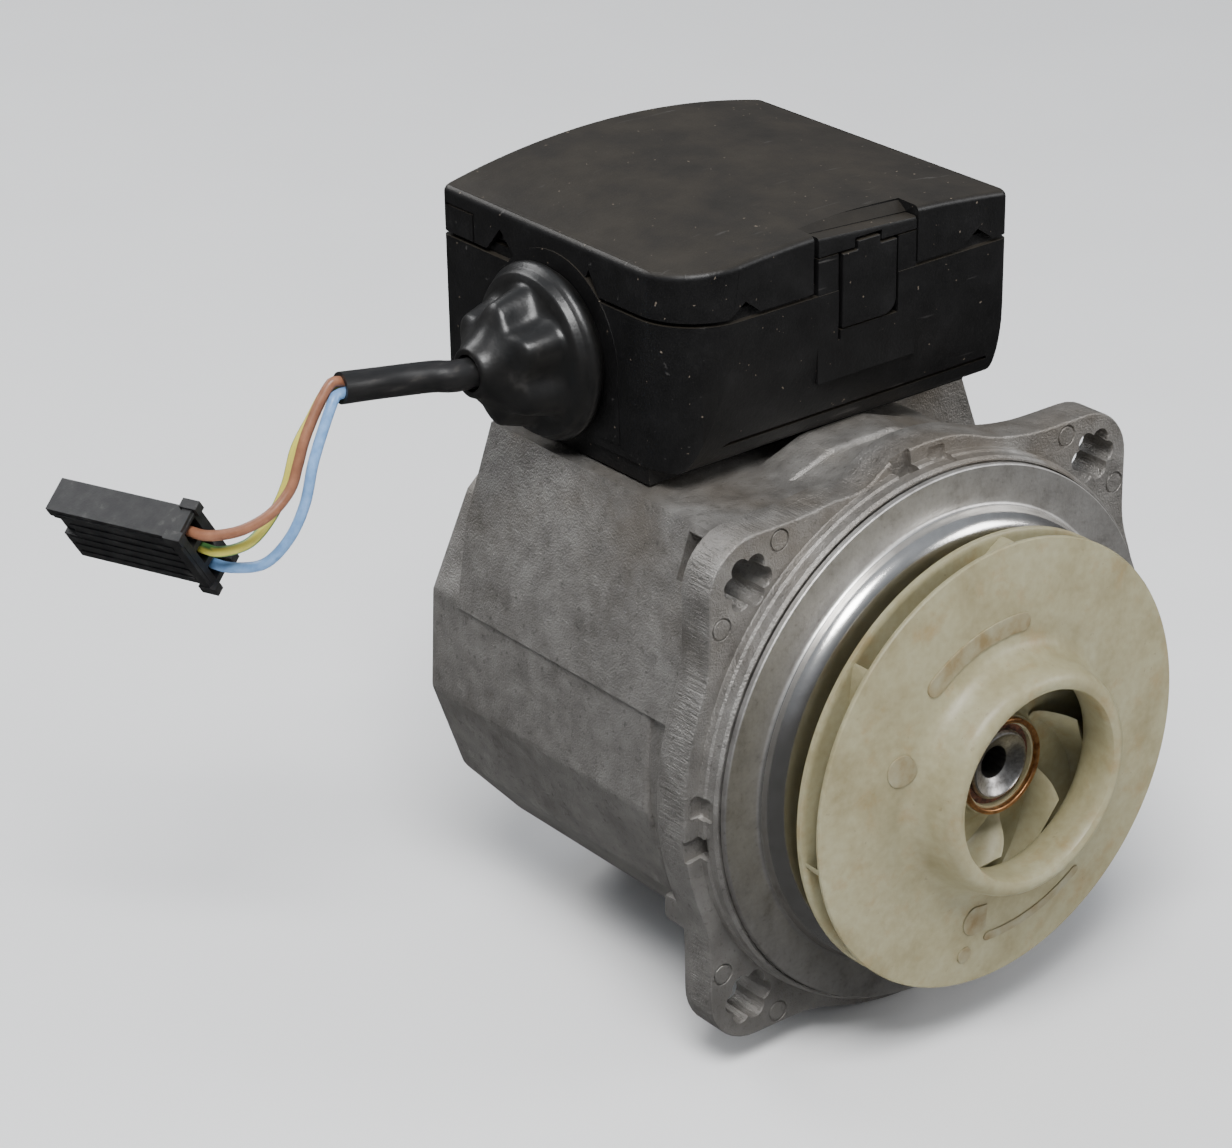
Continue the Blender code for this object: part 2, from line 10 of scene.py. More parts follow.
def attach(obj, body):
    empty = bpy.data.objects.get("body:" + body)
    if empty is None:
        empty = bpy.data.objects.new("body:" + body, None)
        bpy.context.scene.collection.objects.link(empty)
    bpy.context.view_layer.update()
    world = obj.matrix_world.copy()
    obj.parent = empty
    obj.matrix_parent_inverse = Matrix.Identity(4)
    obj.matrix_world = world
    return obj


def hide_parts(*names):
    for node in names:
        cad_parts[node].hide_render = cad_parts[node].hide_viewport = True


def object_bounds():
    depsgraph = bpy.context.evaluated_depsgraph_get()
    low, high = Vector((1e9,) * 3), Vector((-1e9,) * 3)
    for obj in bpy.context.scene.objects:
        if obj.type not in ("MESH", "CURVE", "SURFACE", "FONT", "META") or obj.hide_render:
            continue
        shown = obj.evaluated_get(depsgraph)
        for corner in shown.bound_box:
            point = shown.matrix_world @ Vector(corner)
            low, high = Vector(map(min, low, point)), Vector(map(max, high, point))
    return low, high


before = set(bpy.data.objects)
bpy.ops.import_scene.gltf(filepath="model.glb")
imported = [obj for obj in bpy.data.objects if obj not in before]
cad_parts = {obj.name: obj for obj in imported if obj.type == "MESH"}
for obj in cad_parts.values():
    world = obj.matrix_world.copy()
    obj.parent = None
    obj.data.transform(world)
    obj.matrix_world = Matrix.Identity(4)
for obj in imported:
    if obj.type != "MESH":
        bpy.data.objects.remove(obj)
cad_low, cad_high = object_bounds()


# The view. A long lens looks down at the impeller from its front left, a little out of level,
# so that the flange, the side of the motor and the top of the terminal box all show.

lens = bpy.data.cameras.new("product_lens")
lens.lens = 104.7
lens.sensor_width = 36
camera = bpy.data.objects.new("product_camera", lens)
azimuth, elevation, roll = (math.radians(angle) for angle in (-38.02, 25.56, -1.03))
towards_camera = Vector((
    math.sin(azimuth) * math.cos(elevation),
    -math.cos(azimuth) * math.cos(elevation),
    math.sin(elevation),
))
camera.rotation_mode = "QUATERNION"
camera.rotation_quaternion = (
    (-towards_camera).to_track_quat("-Z", "Y") @ Quaternion((0, 0, 1), roll)
)
camera.location = (-0.3844, -0.3997, 0.2962)
bpy.context.scene.collection.objects.link(camera)
bpy.context.scene.camera = camera


# Lead sheath. A black extruded jacket with a soft shine leaves the box through the boot, runs
# nearly straight on its own stiffness and is cut square where the three wires come out.

SHEATH_ROUTE = [
    (-0.0215, 0.0605, 0.0643), (-0.0370, 0.0605, 0.0643), (-0.0560, 0.0606, 0.0643),
    (-0.0620, 0.0625, 0.0648), (-0.0698, 0.0650, 0.0651), (-0.0783, 0.0660, 0.0660),
]
sheath_radius = 0.00275


def smooth_route(route, spacing):
    """Catmull-Rom points through a route, about one spacing apart."""
    points = [Vector(point) for point in route]
    ends = [2 * points[0] - points[1], *points, 2 * points[-1] - points[-2]]
    result = []
    for i in range(1, len(ends) - 2):
        before, start, end, after = ends[i - 1:i + 3]
        pieces = max(1, round((end - start).length / spacing))
        for j in range(pieces):
            t = j / pieces
            result.append(0.5 * (
                2 * start + (end - before) * t
                + (2 * before - 5 * start + 4 * end - after) * t ** 2
                + (3 * start - before - 3 * end + after) * t ** 3
            ))
    result.append(points[-1])
    return result


def as_object(name, mesh, body, material, smooth=35, edge_wear_and_highlight=None):
    """A shown piece from a finished mesh, riding a body. An edge finish, if given, goes on its bevels:
    rubbed metal with a painted highlight.
    """
    piece = bpy.data.objects.new(name, mesh)
    bpy.context.scene.collection.objects.link(piece)
    mesh.shade_smooth()
    mesh.set_sharp_from_angle(angle=math.radians(smooth))
    if edge_wear_and_highlight:
        mesh.materials[0] = material
        mesh.materials[1] = edge_wear_and_highlight
    else:
        mesh.materials.clear()
        mesh.materials.append(material)
    shading = piece.modifiers.new("shading", "WEIGHTED_NORMAL")
    shading.keep_sharp = True
    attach(piece, body)
    return piece


def hose_mesh(name, centres, radii, sides, hollow=0.0):
    """A closed tube along its centres, with its far end hollow to a depth if one is given."""
    form = bmesh.new()
    across = (centres[1] - centres[0]).orthogonal().normalized()
    rings = []
    for i, centre in enumerate(centres):
        along = (centres[min(i + 1, len(centres) - 1)] - centres[max(i - 1, 0)]).normalized()
        across = (across - across.dot(along) * along).normalized()
        other = along.cross(across)
        ring = []
        for side in range(sides):
            turn = 2 * math.pi * side / sides
            spoke = across * math.cos(turn) + other * math.sin(turn)
            ring.append(form.verts.new(centre + radii[i] * spoke))
        rings.append(ring)
    for one, two in zip(rings, rings[1:]):
        for side in range(sides):
            after = (side + 1) % sides
            form.faces.new((one[side], one[after], two[after], two[side]))
    if hollow:
        for depth in (0.0, hollow):
            inner = [
                form.verts.new(centres[-1].lerp(vertex.co, 0.76) - along * depth)
                for vertex in rings[len(centres) - 1]
            ]
            for side in range(sides):
                after = (side + 1) % sides
                form.faces.new((rings[-1][side], rings[-1][after], inner[after], inner[side]))
            rings.append(inner)
    form.faces.new(rings[0][::-1])
    form.faces.new(rings[-1])
    mesh = bpy.data.meshes.new(name)
    form.to_mesh(mesh)
    form.free()
    return mesh


def finish(name, colour, roughness, metallic=0.0, **sockets):
    """A Principled finish. Returns the material, its tree and the shader."""
    made = bpy.data.materials.new(name)
    made.use_nodes = True
    shader = made.node_tree.nodes["Principled BSDF"]
    shader.inputs["Base Color"].default_value = (*colour, 1)
    shader.inputs["Roughness"].default_value = roughness
    shader.inputs["Metallic"].default_value = metallic
    for socket, value in sockets.items():
        shader.inputs[socket.replace("_", " ")].default_value = value
    return made, made.node_tree, shader


def node(tree, kind, inputs=None, output=0, **settings):
    """Adds a shader node, links or sets its inputs, and returns one of its outputs."""
    made = tree.nodes.new(kind)
    for setting, value in settings.items():
        setattr(made, setting, value)
    for socket, value in (inputs or {}).items():
        if isinstance(value, bpy.types.NodeSocket):
            tree.links.new(value, made.inputs[socket])
        else:
            made.inputs[socket].default_value = value
    return made.outputs[output]


def object_place(tree):
    """Where a point of the piece is, in metres."""
    return node(tree, "ShaderNodeTexCoord", output="Object")


def grain(tree, size, detail=3, stretch=(1, 1, 1), rough=0.5, seed=0.0):
    """Noise whose features are about size metres wide, drawn out along an axis by stretch."""
    place = node(tree, "ShaderNodeMapping", {
        "Vector": object_place(tree), "Scale": [1 / s for s in stretch], "Location": (seed, 0, 0),
    })
    return node(tree, "ShaderNodeTexNoise", {
        "Vector": place, "Scale": 1 / size, "Detail": detail, "Roughness": rough,
    })


def ramp(tree, value, stops):
    """A smooth scale from value to colour. Stops are (place, colour or grey level)."""
    made = tree.nodes.new("ShaderNodeValToRGB")
    tree.links.new(value, made.inputs[0])
    elements = made.color_ramp.elements
    while len(elements) < len(stops):
        elements.new(0.5)
    for element, (place, colour) in zip(elements, stops):
        element.position = place
        element.color = (*colour, 1) if hasattr(colour, "__len__") else (colour,) * 3 + (1,)
    return made.outputs[0]


def blend_colours(tree, share, one, two, how="MIX"):
    return node(tree, "ShaderNodeMixRGB", {"Fac": share, "Color1": one, "Color2": two},
                blend_type=how)


def raise_surface(tree, shader, height, depth, under=None):
    """Bump of a depth in metres, on top of another bump if one is given."""
    inputs = {"Height": height, "Distance": depth, "Strength": 1.0}
    if under:
        inputs["Normal"] = under
    bump = node(tree, "ShaderNodeBump", inputs)
    tree.links.new(bump, shader.inputs["Normal"])
    return bump


def colour_from(tree, shader, colour):
    tree.links.new(colour, shader.inputs["Base Color"])


def roughness_from(tree, shader, value, low, high):
    spread = node(tree, "ShaderNodeMapRange", {"Value": value, "To Min": low, "To Max": high})
    tree.links.new(spread, shader.inputs["Roughness"])


jacket, tree, shader = finish("satin_black_jacket", (0.012, 0.012, 0.013), 0.34)
scuffs = grain(tree, 0.0016, 4, stretch=(3, 1, 1))
colour_from(tree, shader, ramp(tree, scuffs, [
    (0.35, (0.009, 0.009, 0.009)), (0.60, (0.016, 0.015, 0.015)), (0.78, (0.050, 0.046, 0.041)),
]))
roughness_from(tree, shader, scuffs, 0.26, 0.46)
raise_surface(tree, shader, grain(tree, 0.0009, 2, stretch=(4, 1, 1)), 0.00004)

sheath_centres = smooth_route(SHEATH_ROUTE, 0.0012)
sheath_radii = [
    sheath_radius * (1 + 0.015 * noise.noise(centre * 190)) for centre in sheath_centres
]
sheath_mesh = hose_mesh("lead_sheath_jacket", sheath_centres, sheath_radii, 28, hollow=0.0018)
sheath = as_object("lead_sheath_jacket", sheath_mesh, "root", jacket)
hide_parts("lead_sheath")


# Single wires. Brown, green and yellow, and blue PVC-covered conductors fan out of the sheath,
# fall in one loose curve and enter the three cells of the connector.

BROWN_ROUTE = [
    (-0.0772, 0.0660, 0.0668), (-0.0793, 0.0661, 0.0674), (-0.0805, 0.0662, 0.0667),
    (-0.0832, 0.0660, 0.0634),
    (-0.0862, 0.0655, 0.0590), (-0.0880, 0.0652, 0.0550), (-0.0900, 0.0650, 0.0510),
    (-0.0940, 0.0655, 0.0475), (-0.0985, 0.0680, 0.0450), (-0.1024, 0.0717, 0.0440),
    (-0.1039, 0.0754, 0.0440),
]
EARTH_ROUTE = [
    (-0.0772, 0.0669, 0.0654), (-0.0794, 0.0673, 0.0655), (-0.0806, 0.0677, 0.0647),
    (-0.0830, 0.0680, 0.0612),
    (-0.0864, 0.0681, 0.0565), (-0.0886, 0.0682, 0.0505), (-0.0914, 0.0690, 0.0452),
    (-0.0955, 0.0700, 0.0412), (-0.0997, 0.0728, 0.0398), (-0.1012, 0.0765, 0.0398),
]
BLUE_ROUTE = [
    (-0.0772, 0.0650, 0.0654), (-0.0795, 0.0649, 0.0655), (-0.0808, 0.0644, 0.0649),
    (-0.0835, 0.0636, 0.0610),
    (-0.0864, 0.0630, 0.0555), (-0.0884, 0.0632, 0.0485), (-0.0908, 0.0650, 0.0422),
    (-0.0935, 0.0690, 0.0370), (-0.0970, 0.0739, 0.0356), (-0.0985, 0.0776, 0.0356),
]
wire_radius = 0.00095
wire_sides = 14


def wire_finish(name, dark, light):
    made, tree, shader = finish(name, light, 0.36)
    handling = grain(tree, 0.0020, 4)
    colour_from(tree, shader, ramp(tree, handling, [(0.3, dark), (0.7, light)]))
    raise_surface(tree, shader, grain(tree, 0.0007, 2), 0.00002)
    return made, tree, shader


brown_cover, *_ = wire_finish("brown_wire_cover", (0.21, 0.085, 0.045), (0.33, 0.145, 0.08))
blue_cover, *_ = wire_finish("blue_wire_cover", (0.13, 0.27, 0.52), (0.24, 0.42, 0.72))
striped_cover, tree, shader = wire_finish(
    "green_yellow_wire_cover", (0.06, 0.17, 0.045), (0.10, 0.26, 0.08)
)
green = shader.inputs["Base Color"].links[0].from_socket
stripe = node(tree, "ShaderNodeAttribute", {}, "Fac", attribute_name="yellow_stripe")
colour_from(tree, shader, blend_colours(tree, stripe, green, (0.62, 0.56, 0.10, 1)))

for name, route, cover, slot in (
    ("wire_brown", BROWN_ROUTE, brown_cover, "wire_brown"),
    ("wire_green_yellow", EARTH_ROUTE, striped_cover, "wire_green_yellow"),
    ("wire_blue", BLUE_ROUTE, blue_cover, "wire_blue"),
):
    centres = smooth_route(route, 0.0008)
    radii = [wire_radius] * len(centres)
    mesh = hose_mesh(name + "_cover", centres, radii, wire_sides)
    if name == "wire_green_yellow":
        stripes = mesh.attributes.new("yellow_stripe", "FLOAT", "POINT")
        for i in range(len(centres)):
            for side in range(wire_sides):
                turned = (side / wire_sides + i * 0.004) % 1
                stripes.data[i * wire_sides + side].value = float(0.20 < turned < 0.48)
    wire = as_object(name + "_cover", mesh, "root", cover)
    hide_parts(name)


# Connector. A black moulded shell holds three receptacles in a row. Its broad faces are ribbed for
# the fingers, its mouth is flared for the wires, and its far end is keyed by a notch.

connector_length = 0.0280
connector_width = 0.0153
connector_thickness = 0.0064
pin_pitch = 0.00508
pin_row = Vector((0.532, 0.218, -0.818)).normalized()
mating = Vector((-0.381, 0.925, 0.001))
mating = (mating - mating.dot(pin_row) * pin_row).normalized()
connector_place = Matrix.Translation((-0.1008, 0.0756, 0.0398)) @ Matrix(
    (pin_row, mating, pin_row.cross(mating))
).transposed().to_4x4()


def block_mesh(name, low, high, place=Matrix()):
    form = bmesh.new()
    size = Vector(high) - Vector(low)
    middle = (Vector(high) + Vector(low)) / 2
    bmesh.ops.create_cube(
        form, matrix=place @ Matrix.Translation(middle) @ Matrix.Diagonal((*size, 1))
    )
    mesh = bpy.data.meshes.new(name)
    form.to_mesh(mesh)
    form.free()
    return mesh


def settled(mesh, joined=(), removed=(), within=(), bevel=0.0, angle=30, segments=2, edge_wear_and_highlight=False,
            clamp=True):
    """Joins and cuts meshes and rounds the sharp edges. The edge flag gives them a second finish, for
    rubbed metal with a painted highlight.
    """
    work = bpy.data.objects.new("work", mesh)
    bpy.context.scene.collection.objects.link(work)
    if edge_wear_and_highlight:
        mesh.materials.append(None)
        mesh.materials.append(None)
    helpers = []
    for others, operation in (
        (within, "INTERSECT"), (joined, "UNION"), (removed, "DIFFERENCE"),
    ):
        for other in others:
            helper = bpy.data.objects.new("helper", other)
            bpy.context.scene.collection.objects.link(helper)
            helpers.append(helper)
            change = work.modifiers.new("change", "BOOLEAN")
            change.operation = operation
            change.object = helper
    if helpers:
        tidy = work.modifiers.new("tidy", "WELD")
        tidy.merge_threshold = 0.000002
    if bevel:
        rounding = work.modifiers.new("rounding", "BEVEL")
        rounding.width = bevel
        rounding.segments = segments
        rounding.limit_method = "ANGLE"
        rounding.angle_limit = math.radians(angle)
        rounding.miter_outer = "MITER_ARC"
        rounding.use_clamp_overlap = clamp
        if edge_wear_and_highlight:
            rounding.material = 1
    graph = bpy.context.evaluated_depsgraph_get()
    result = bpy.data.meshes.new_from_object(work.evaluated_get(graph))
    result.name = mesh.name
    for used in (work, *helpers):
        bpy.data.objects.remove(used)
    return result


half_width = connector_width / 2
half_thick = connector_thickness / 2
ribs = []
for face in (-1, 1):
    for number in range(6):
        x = -half_width + 0.0017 + number * 0.00238
        ribs.append(block_mesh(
            "rib", (x - 0.00055, 0.0030, face * half_thick - 0.00022),
            (x + 0.00055, connector_length - 0.0010, face * half_thick + 0.00022),
        ))
rim = block_mesh(
    "rim", (-half_width - 0.0008, 0.0001, -half_thick - 0.0007),
    (half_width + 0.0008, 0.0020, half_thick + 0.0007),
)
ears = [
    block_mesh("ear", (x - 0.0010, -0.0008, z - 0.0009), (x + 0.0010, 0.0026, z + 0.0009))
    for x in (-half_width - 0.0002, half_width + 0.0002) for z in (-half_thick, half_thick)
]
cells = [
    block_mesh("cell", (x - 0.0019, -0.002, -0.0019), (x + 0.0019, connector_length + 0.002, 0.0019))
    for x in (-pin_pitch, 0.0, pin_pitch)
]
key_notches = [
    block_mesh(
        "key_notch", (-half_width + 0.0022, connector_length - 0.0034, -half_thick - 0.0010),
        (-half_width + 0.0078, connector_length + 0.0010, -half_thick + 0.0011),
    ),
]
shell_mesh = settled(
    block_mesh(
        "connector_shell", (-half_width, 0, -half_thick),
        (half_width, connector_length, half_thick),
    ),
    [*ribs, rim, *ears], [*cells, *key_notches], bevel=0.00016, segments=2,
)
shell_mesh.transform(connector_place)

moulded_black, tree, shader = finish("connector_moulding", (0.010, 0.010, 0.011), 0.42)
wear = grain(tree, 0.0025, 5, rough=0.6)
colour_from(tree, shader, ramp(tree, wear, [
    (0.40, (0.008, 0.008, 0.009)), (0.62, (0.020, 0.020, 0.020)), (0.80, (0.075, 0.072, 0.068)),
]))
roughness_from(tree, shader, wear, 0.36, 0.60)
raise_surface(tree, shader, grain(tree, 0.0004, 3), 0.00003)
shell = as_object("connector_shell", shell_mesh, "root", moulded_black, 25)
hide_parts("connector_housing")

tinned, tree, shader = finish("drawn_brass", (0.52, 0.40, 0.20), 0.34, 1.0)
tarnish = grain(tree, 0.0012, 4)
colour_from(tree, shader, ramp(tree, tarnish, [
    (0.35, (0.30, 0.21, 0.10)), (0.65, (0.60, 0.46, 0.22)),
]))
roughness_from(tree, shader, tarnish, 0.28, 0.5)
contacts = [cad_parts[f"contact_{number}"] for number in (1, 2, 3)]
for contact in contacts:
    contact.data.materials.clear()
    contact.data.materials.append(tinned)


# Motor housing. One aluminium die casting: the faceted motor body, the neck, the square flange
# with its four lobes and six-lobed screw holes, the spigot ring and the flat deck for the box.

flange_face, flange_back = 0.0055, 0.0130
hole_offset = 0.0400
lobe_radius = 0.0100
flange_half = 0.0483
disc_radius = 0.0540
body_radius, body_front, body_rear = 0.0500, 0.0215, 0.0850
deck_height, deck_half, deck_rear = 0.0460, 0.0400, 0.0760
bore_radius = 0.0434
facing_front = Matrix.Rotation(math.pi / 2, 4, "X")


def slab_mesh(name, outline, low, high, place=Matrix()):
    """An outline in local X and Y, extruded from low to high along local Z."""
    form = bmesh.new()
    area = sum(a[0] * b[1] - b[0] * a[1] for a, b in zip(outline, outline[1:] + outline[:1]))
    if area < 0:
        outline = outline[::-1]
    bottom = [form.verts.new((x, y, low)) for x, y in outline]
    top = [form.verts.new((x, y, high)) for x, y in outline]
    form.faces.new(bottom[::-1])
    form.faces.new(top)
    for i in range(len(outline)):
        j = (i + 1) % len(outline)
        form.faces.new((bottom[i], bottom[j], top[j], top[i]))
    form.transform(place)
    mesh = bpy.data.meshes.new(name)
    form.to_mesh(mesh)
    form.free()
    return mesh


def shaft_slab(name, outline, front, rear, place=Matrix()):
    """An outline in X and Z, extruded along the shaft from front to rear."""
    return slab_mesh(name, outline, -rear, -front, place @ facing_front)


def turned_mesh(name, profile, steps=96, place=Matrix(), wave=None):
    """A closed profile of (radius, place along local Z) turned round local Z."""
    form = bmesh.new()
    rings = []
    for radius, along in profile:
        if radius < 0.000001:
            rings.append([form.verts.new((0, 0, along))] * steps)
            continue
        ring = []
        for step in range(steps):
            angle = 2 * math.pi * step / steps
            r = radius if wave is None else wave(radius, along, angle)
            ring.append(form.verts.new((r * math.cos(angle), r * math.sin(angle), along)))
        rings.append(ring)
    for one, two in zip(rings, rings[1:] + rings[:1]):
        for step in range(steps):
            after = (step + 1) % steps
            corners = []
            for vertex in (one[step], one[after], two[after], two[step]):
                if vertex not in corners:
                    corners.append(vertex)
            if len(corners) > 2:
                form.faces.new(corners)
    bmesh.ops.recalc_face_normals(form, faces=form.faces)
    form.transform(place)
    mesh = bpy.data.meshes.new(name)
    form.to_mesh(mesh)
    form.free()
    return mesh


def rounded(profile, radius, points=3):
    """The corners of a closed profile replaced by small arcs, shorter where a side is short."""
    result = []
    count = len(profile)
    for i, corner in enumerate(profile):
        corner = Vector(corner)
        if corner.x < 0.000001:
            result.append(tuple(corner))
            continue
        before = Vector(profile[i - 1]) - corner
        after = Vector(profile[(i + 1) % count]) - corner
        reach = min(radius, before.length * 0.45, after.length * 0.45)
        start = corner + before.normalized() * reach
        end = corner + after.normalized() * reach
        for j in range(points + 1):
            t = j / points
            bend = (1 - t) ** 2 * start + 2 * t * (1 - t) * corner + t ** 2 * end
            result.append((bend.x, bend.y))
    return result


def arc(centre, radius, start, end, count):
    angles = [math.radians(start + (end - start) * i / count) for i in range(count + 1)]
    return [(centre[0] + radius * math.cos(a), centre[1] + radius * math.sin(a)) for a in angles]


def flange_radius(angle):
    """The flange's edge: a disc and a rounded square, trimmed a little beside the box."""
    across, up = abs(math.cos(angle)), abs(math.sin(angle))
    corner = flange_half - lobe_radius
    side = flange_half / max(across, up)
    if min(across, up) * side > corner:
        half = corner * (across + up)
        side = half + math.sqrt(half ** 2 - 2 * corner ** 2 + lobe_radius ** 2)
    trim = 0.0030 * math.exp(-((math.degrees(angle) - 106.5) / 6.5) ** 2)
    trim += 0.0012 * math.exp(-((math.degrees(angle) - 72.0) / 8.0) ** 2)
    softness = 60
    disc = disc_radius - trim
    return (side ** softness + disc ** softness) ** (1 / softness)


def flange_outline(inset=0.0, count=240):
    angles = [2 * math.pi * (i + 0.5) / count for i in range(count)]
    return [
        ((flange_radius(a) - inset) * math.cos(a), (flange_radius(a) - inset) * math.sin(a))
        for a in angles
    ]


def six_lobed(lobe_centres=0.00325, lobe=0.0020):
    """A hole of six round lobes that meet in sharp cusps."""
    half_turn = math.radians(30)
    half_chord = lobe_centres * math.sin(half_turn)
    cusp = lobe_centres * math.cos(half_turn) + math.sqrt(lobe ** 2 - half_chord ** 2)
    reach = math.degrees(math.atan2(
        cusp * math.sin(half_turn), cusp * math.cos(half_turn) - lobe_centres
    ))
    result = []
    for number in range(6):
        turn = 60 * number
        centre = (
            lobe_centres * math.cos(math.radians(turn)), lobe_centres * math.sin(math.radians(turn))
        )
        result += arc(centre, lobe, turn - reach, turn + reach, 10)[:-1]
    return result


side_corners = [14.5 - 22.5 * i for i in range(5)]
facet_angles = [*side_corners, *(180 - a for a in reversed(side_corners)),
                143, 120.5, 98, 82, 59.5, 37]
facet_outline = [
    (body_radius * math.cos(math.radians(a)), body_radius * math.sin(math.radians(a)))
    for a in facet_angles
]
shoulder_outline = [
    (0.0489, 0.0120), (0, 0.0120), (0, deck_height), (deck_half, deck_height), (0.0462, 0.0290),
]
body = settled(
    shaft_slab("body", facet_outline, body_front, body_rear), bevel=0.0011, angle=12, segments=3
)
left_shoulder = shaft_slab(
    "left_shoulder", [(-x, z) for x, z in shoulder_outline], flange_back - 0.0015, deck_rear
)
right_shoulder = shaft_slab("right_shoulder", shoulder_outline, 0.0400, deck_rear)
neck = turned_mesh("neck", [
    (0, -0.0115), (0.0512, -0.0115), (0.0512, -flange_back), (0.0503, -0.0138), (0.0494, -0.0150),
    (0.0488, -0.0168), (0.0486, -0.0190), (0.0486, -0.0240), (0, -0.0240),
], 144, facing_front)
flange = settled(
    shaft_slab("flange", flange_outline(), flange_face, flange_back), bevel=0.00045, angle=60
)
spigot_profile = [
    (0, -0.0075), (0.0512, -0.0075), (0.0512, -0.0040), (0.05085, -0.0036), (0.05085, -0.0018),
    (0.0504, -0.0013), (0.0501, -0.0013), (0.0499, -0.0016), (0, -0.0016),
]
spigot = turned_mesh("spigot", spigot_profile, 144, facing_front)
rear_boss = turned_mesh("rear_boss", rounded([
    (0.0100, -0.0800), (0.0170, -0.0800), (0.0170, -0.0875), (0.0100, -0.0875),
], 0.0006), 72, facing_front)
rear_step = turned_mesh("rear_step", rounded([
    (0, -0.0800), (0.0330, -0.0800), (0.0330, -0.0858), (0, -0.0858),
], 0.0005), 96, facing_front)
ribs = []
for across in (-1, 1):
    for rib_height in (-0.0270, 0.0275):
        ribs.append(settled(block_mesh(
            "rib", (min(across * 0.0400, across * 0.0455), 0.0120, rib_height - 0.0026),
            (max(across * 0.0400, across * 0.0455), 0.0222, rib_height + 0.0026),
        ), bevel=0.0010, angle=60))

cutters = [
    turned_mesh("stator_bore", [
        (0, 0.001), (bore_radius, 0.001), (bore_radius, -0.0805), (0.0120, -0.0805),
        (0.0120, -0.0920), (0, -0.0920),
    ], 96, facing_front),
    block_mesh("deck_cut", (-0.0395, 0.0300, deck_height - 0.0002), (0.0395, 0.0900, 0.0600)),
]
for number in range(4):
    corner_angle = math.radians(45 + 90 * number)
    corner = Vector((math.cos(corner_angle), 0, math.sin(corner_angle))) * hole_offset * math.sqrt(2)
    cutters.append(shaft_slab(
        "screw_hole", six_lobed(), 0.003, 0.020, Matrix.Translation(corner)
    ))
    # A drain slot across the flange face, and a pocket in the spigot beside it
    slot_turn = Matrix.Rotation(math.radians(173.2 - 90 * number), 4, "Y")
    cutters.append(block_mesh(
        "drain_slot", (0.0490, 0.0035, -0.0022), (0.0600, 0.0064, 0.0022), slot_turn
    ))
    pocket_turn = Matrix.Rotation(math.radians(182.0 - 90 * number), 4, "Y")
    cutters.append(settled(block_mesh(
        "pocket", (0.0500, 0.0020, -0.0021), (0.0530, 0.0060, 0.0021), pocket_turn
    ), bevel=0.0007, angle=60))
    # Round ejector marks, slightly sunk, on both sides of each screw hole
    for swing in (-9.0, 9.0):
        mark_angle = corner_angle + math.radians(swing)
        mark = (0.0565 * math.cos(mark_angle), 0.0565 * math.sin(mark_angle))
        cutters.append(turned_mesh("ejector_mark", [
            (0.0017, 0.002), (0.0017, -0.00045), (0.0021, -0.00045), (0.0021, 0.002),
        ], 28, Matrix.Translation((mark[0], flange_face, mark[1])) @ facing_front))
for x, y, radius in ((0, 0.060, 0.0070), (-0.026, 0.065, 0.0019), (0.026, 0.065, 0.0019),
                     (-0.026, 0.045, 0.0023)):
    cutters.append(turned_mesh("deck_hole", [
        (0, 0.038), (radius, 0.038), (radius, 0.060), (0, 0.060),
    ], 32, Matrix.Translation((x, y, 0))))

casting_mesh = settled(
    body, [neck, flange, spigot, left_shoulder, right_shoulder, rear_boss, rear_step, *ribs],
    cutters, bevel=0.00024, angle=32, edge_wear_and_highlight=True,
)
casting_mesh.name = "motor_casting"

cast_metal, tree, shader = finish("sand_textured_casting", (0.40, 0.39, 0.375), 0.5, 0.8)
blotches = grain(tree, 0.018, 5, rough=0.62)
fine_blotches = grain(tree, 0.0035, 4, seed=3.0)
sand = grain(tree, 0.00042, 3, rough=0.6)
colour = blend_colours(
    tree, 0.5,
    ramp(tree, blotches, [(0.30, (0.21, 0.195, 0.18)), (0.52, (0.33, 0.315, 0.295)),
                          (0.75, (0.44, 0.425, 0.405))]),
    ramp(tree, fine_blotches, [(0.25, (0.21, 0.20, 0.185)), (0.60, (0.37, 0.355, 0.335)),
                               (0.85, (0.48, 0.465, 0.445))]),
)
pits = ramp(tree, grain(tree, 0.0011, 2, seed=7.0), [(0.22, 0.35), (0.40, 1.0)])
colour = blend_colours(tree, 0.6, colour, pits, "MULTIPLY")
# Towards the top of the body, on the deck side, the colour turns a darker brown in patches
place = node(tree, "ShaderNodeSeparateXYZ", {"Vector": object_place(tree)}, "Z")
upper_body_share = node(tree, "ShaderNodeMapRange", {
    "Value": place, "From Min": 0.022, "From Max": 0.046, "To Min": 0.0, "To Max": 1.0,
})
upper_darkening = node(tree, "ShaderNodeMath", {
    0: upper_body_share, 1: ramp(tree, grain(tree, 0.022, 4, seed=11.0), [(0.44, 0.0), (0.64, 0.6)]),
}, operation="MULTIPLY")
colour = blend_colours(tree, upper_darkening, colour, (0.20, 0.165, 0.125, 1))
colour_from(tree, shader, colour)
roughness_from(tree, shader, fine_blotches, 0.40, 0.62)
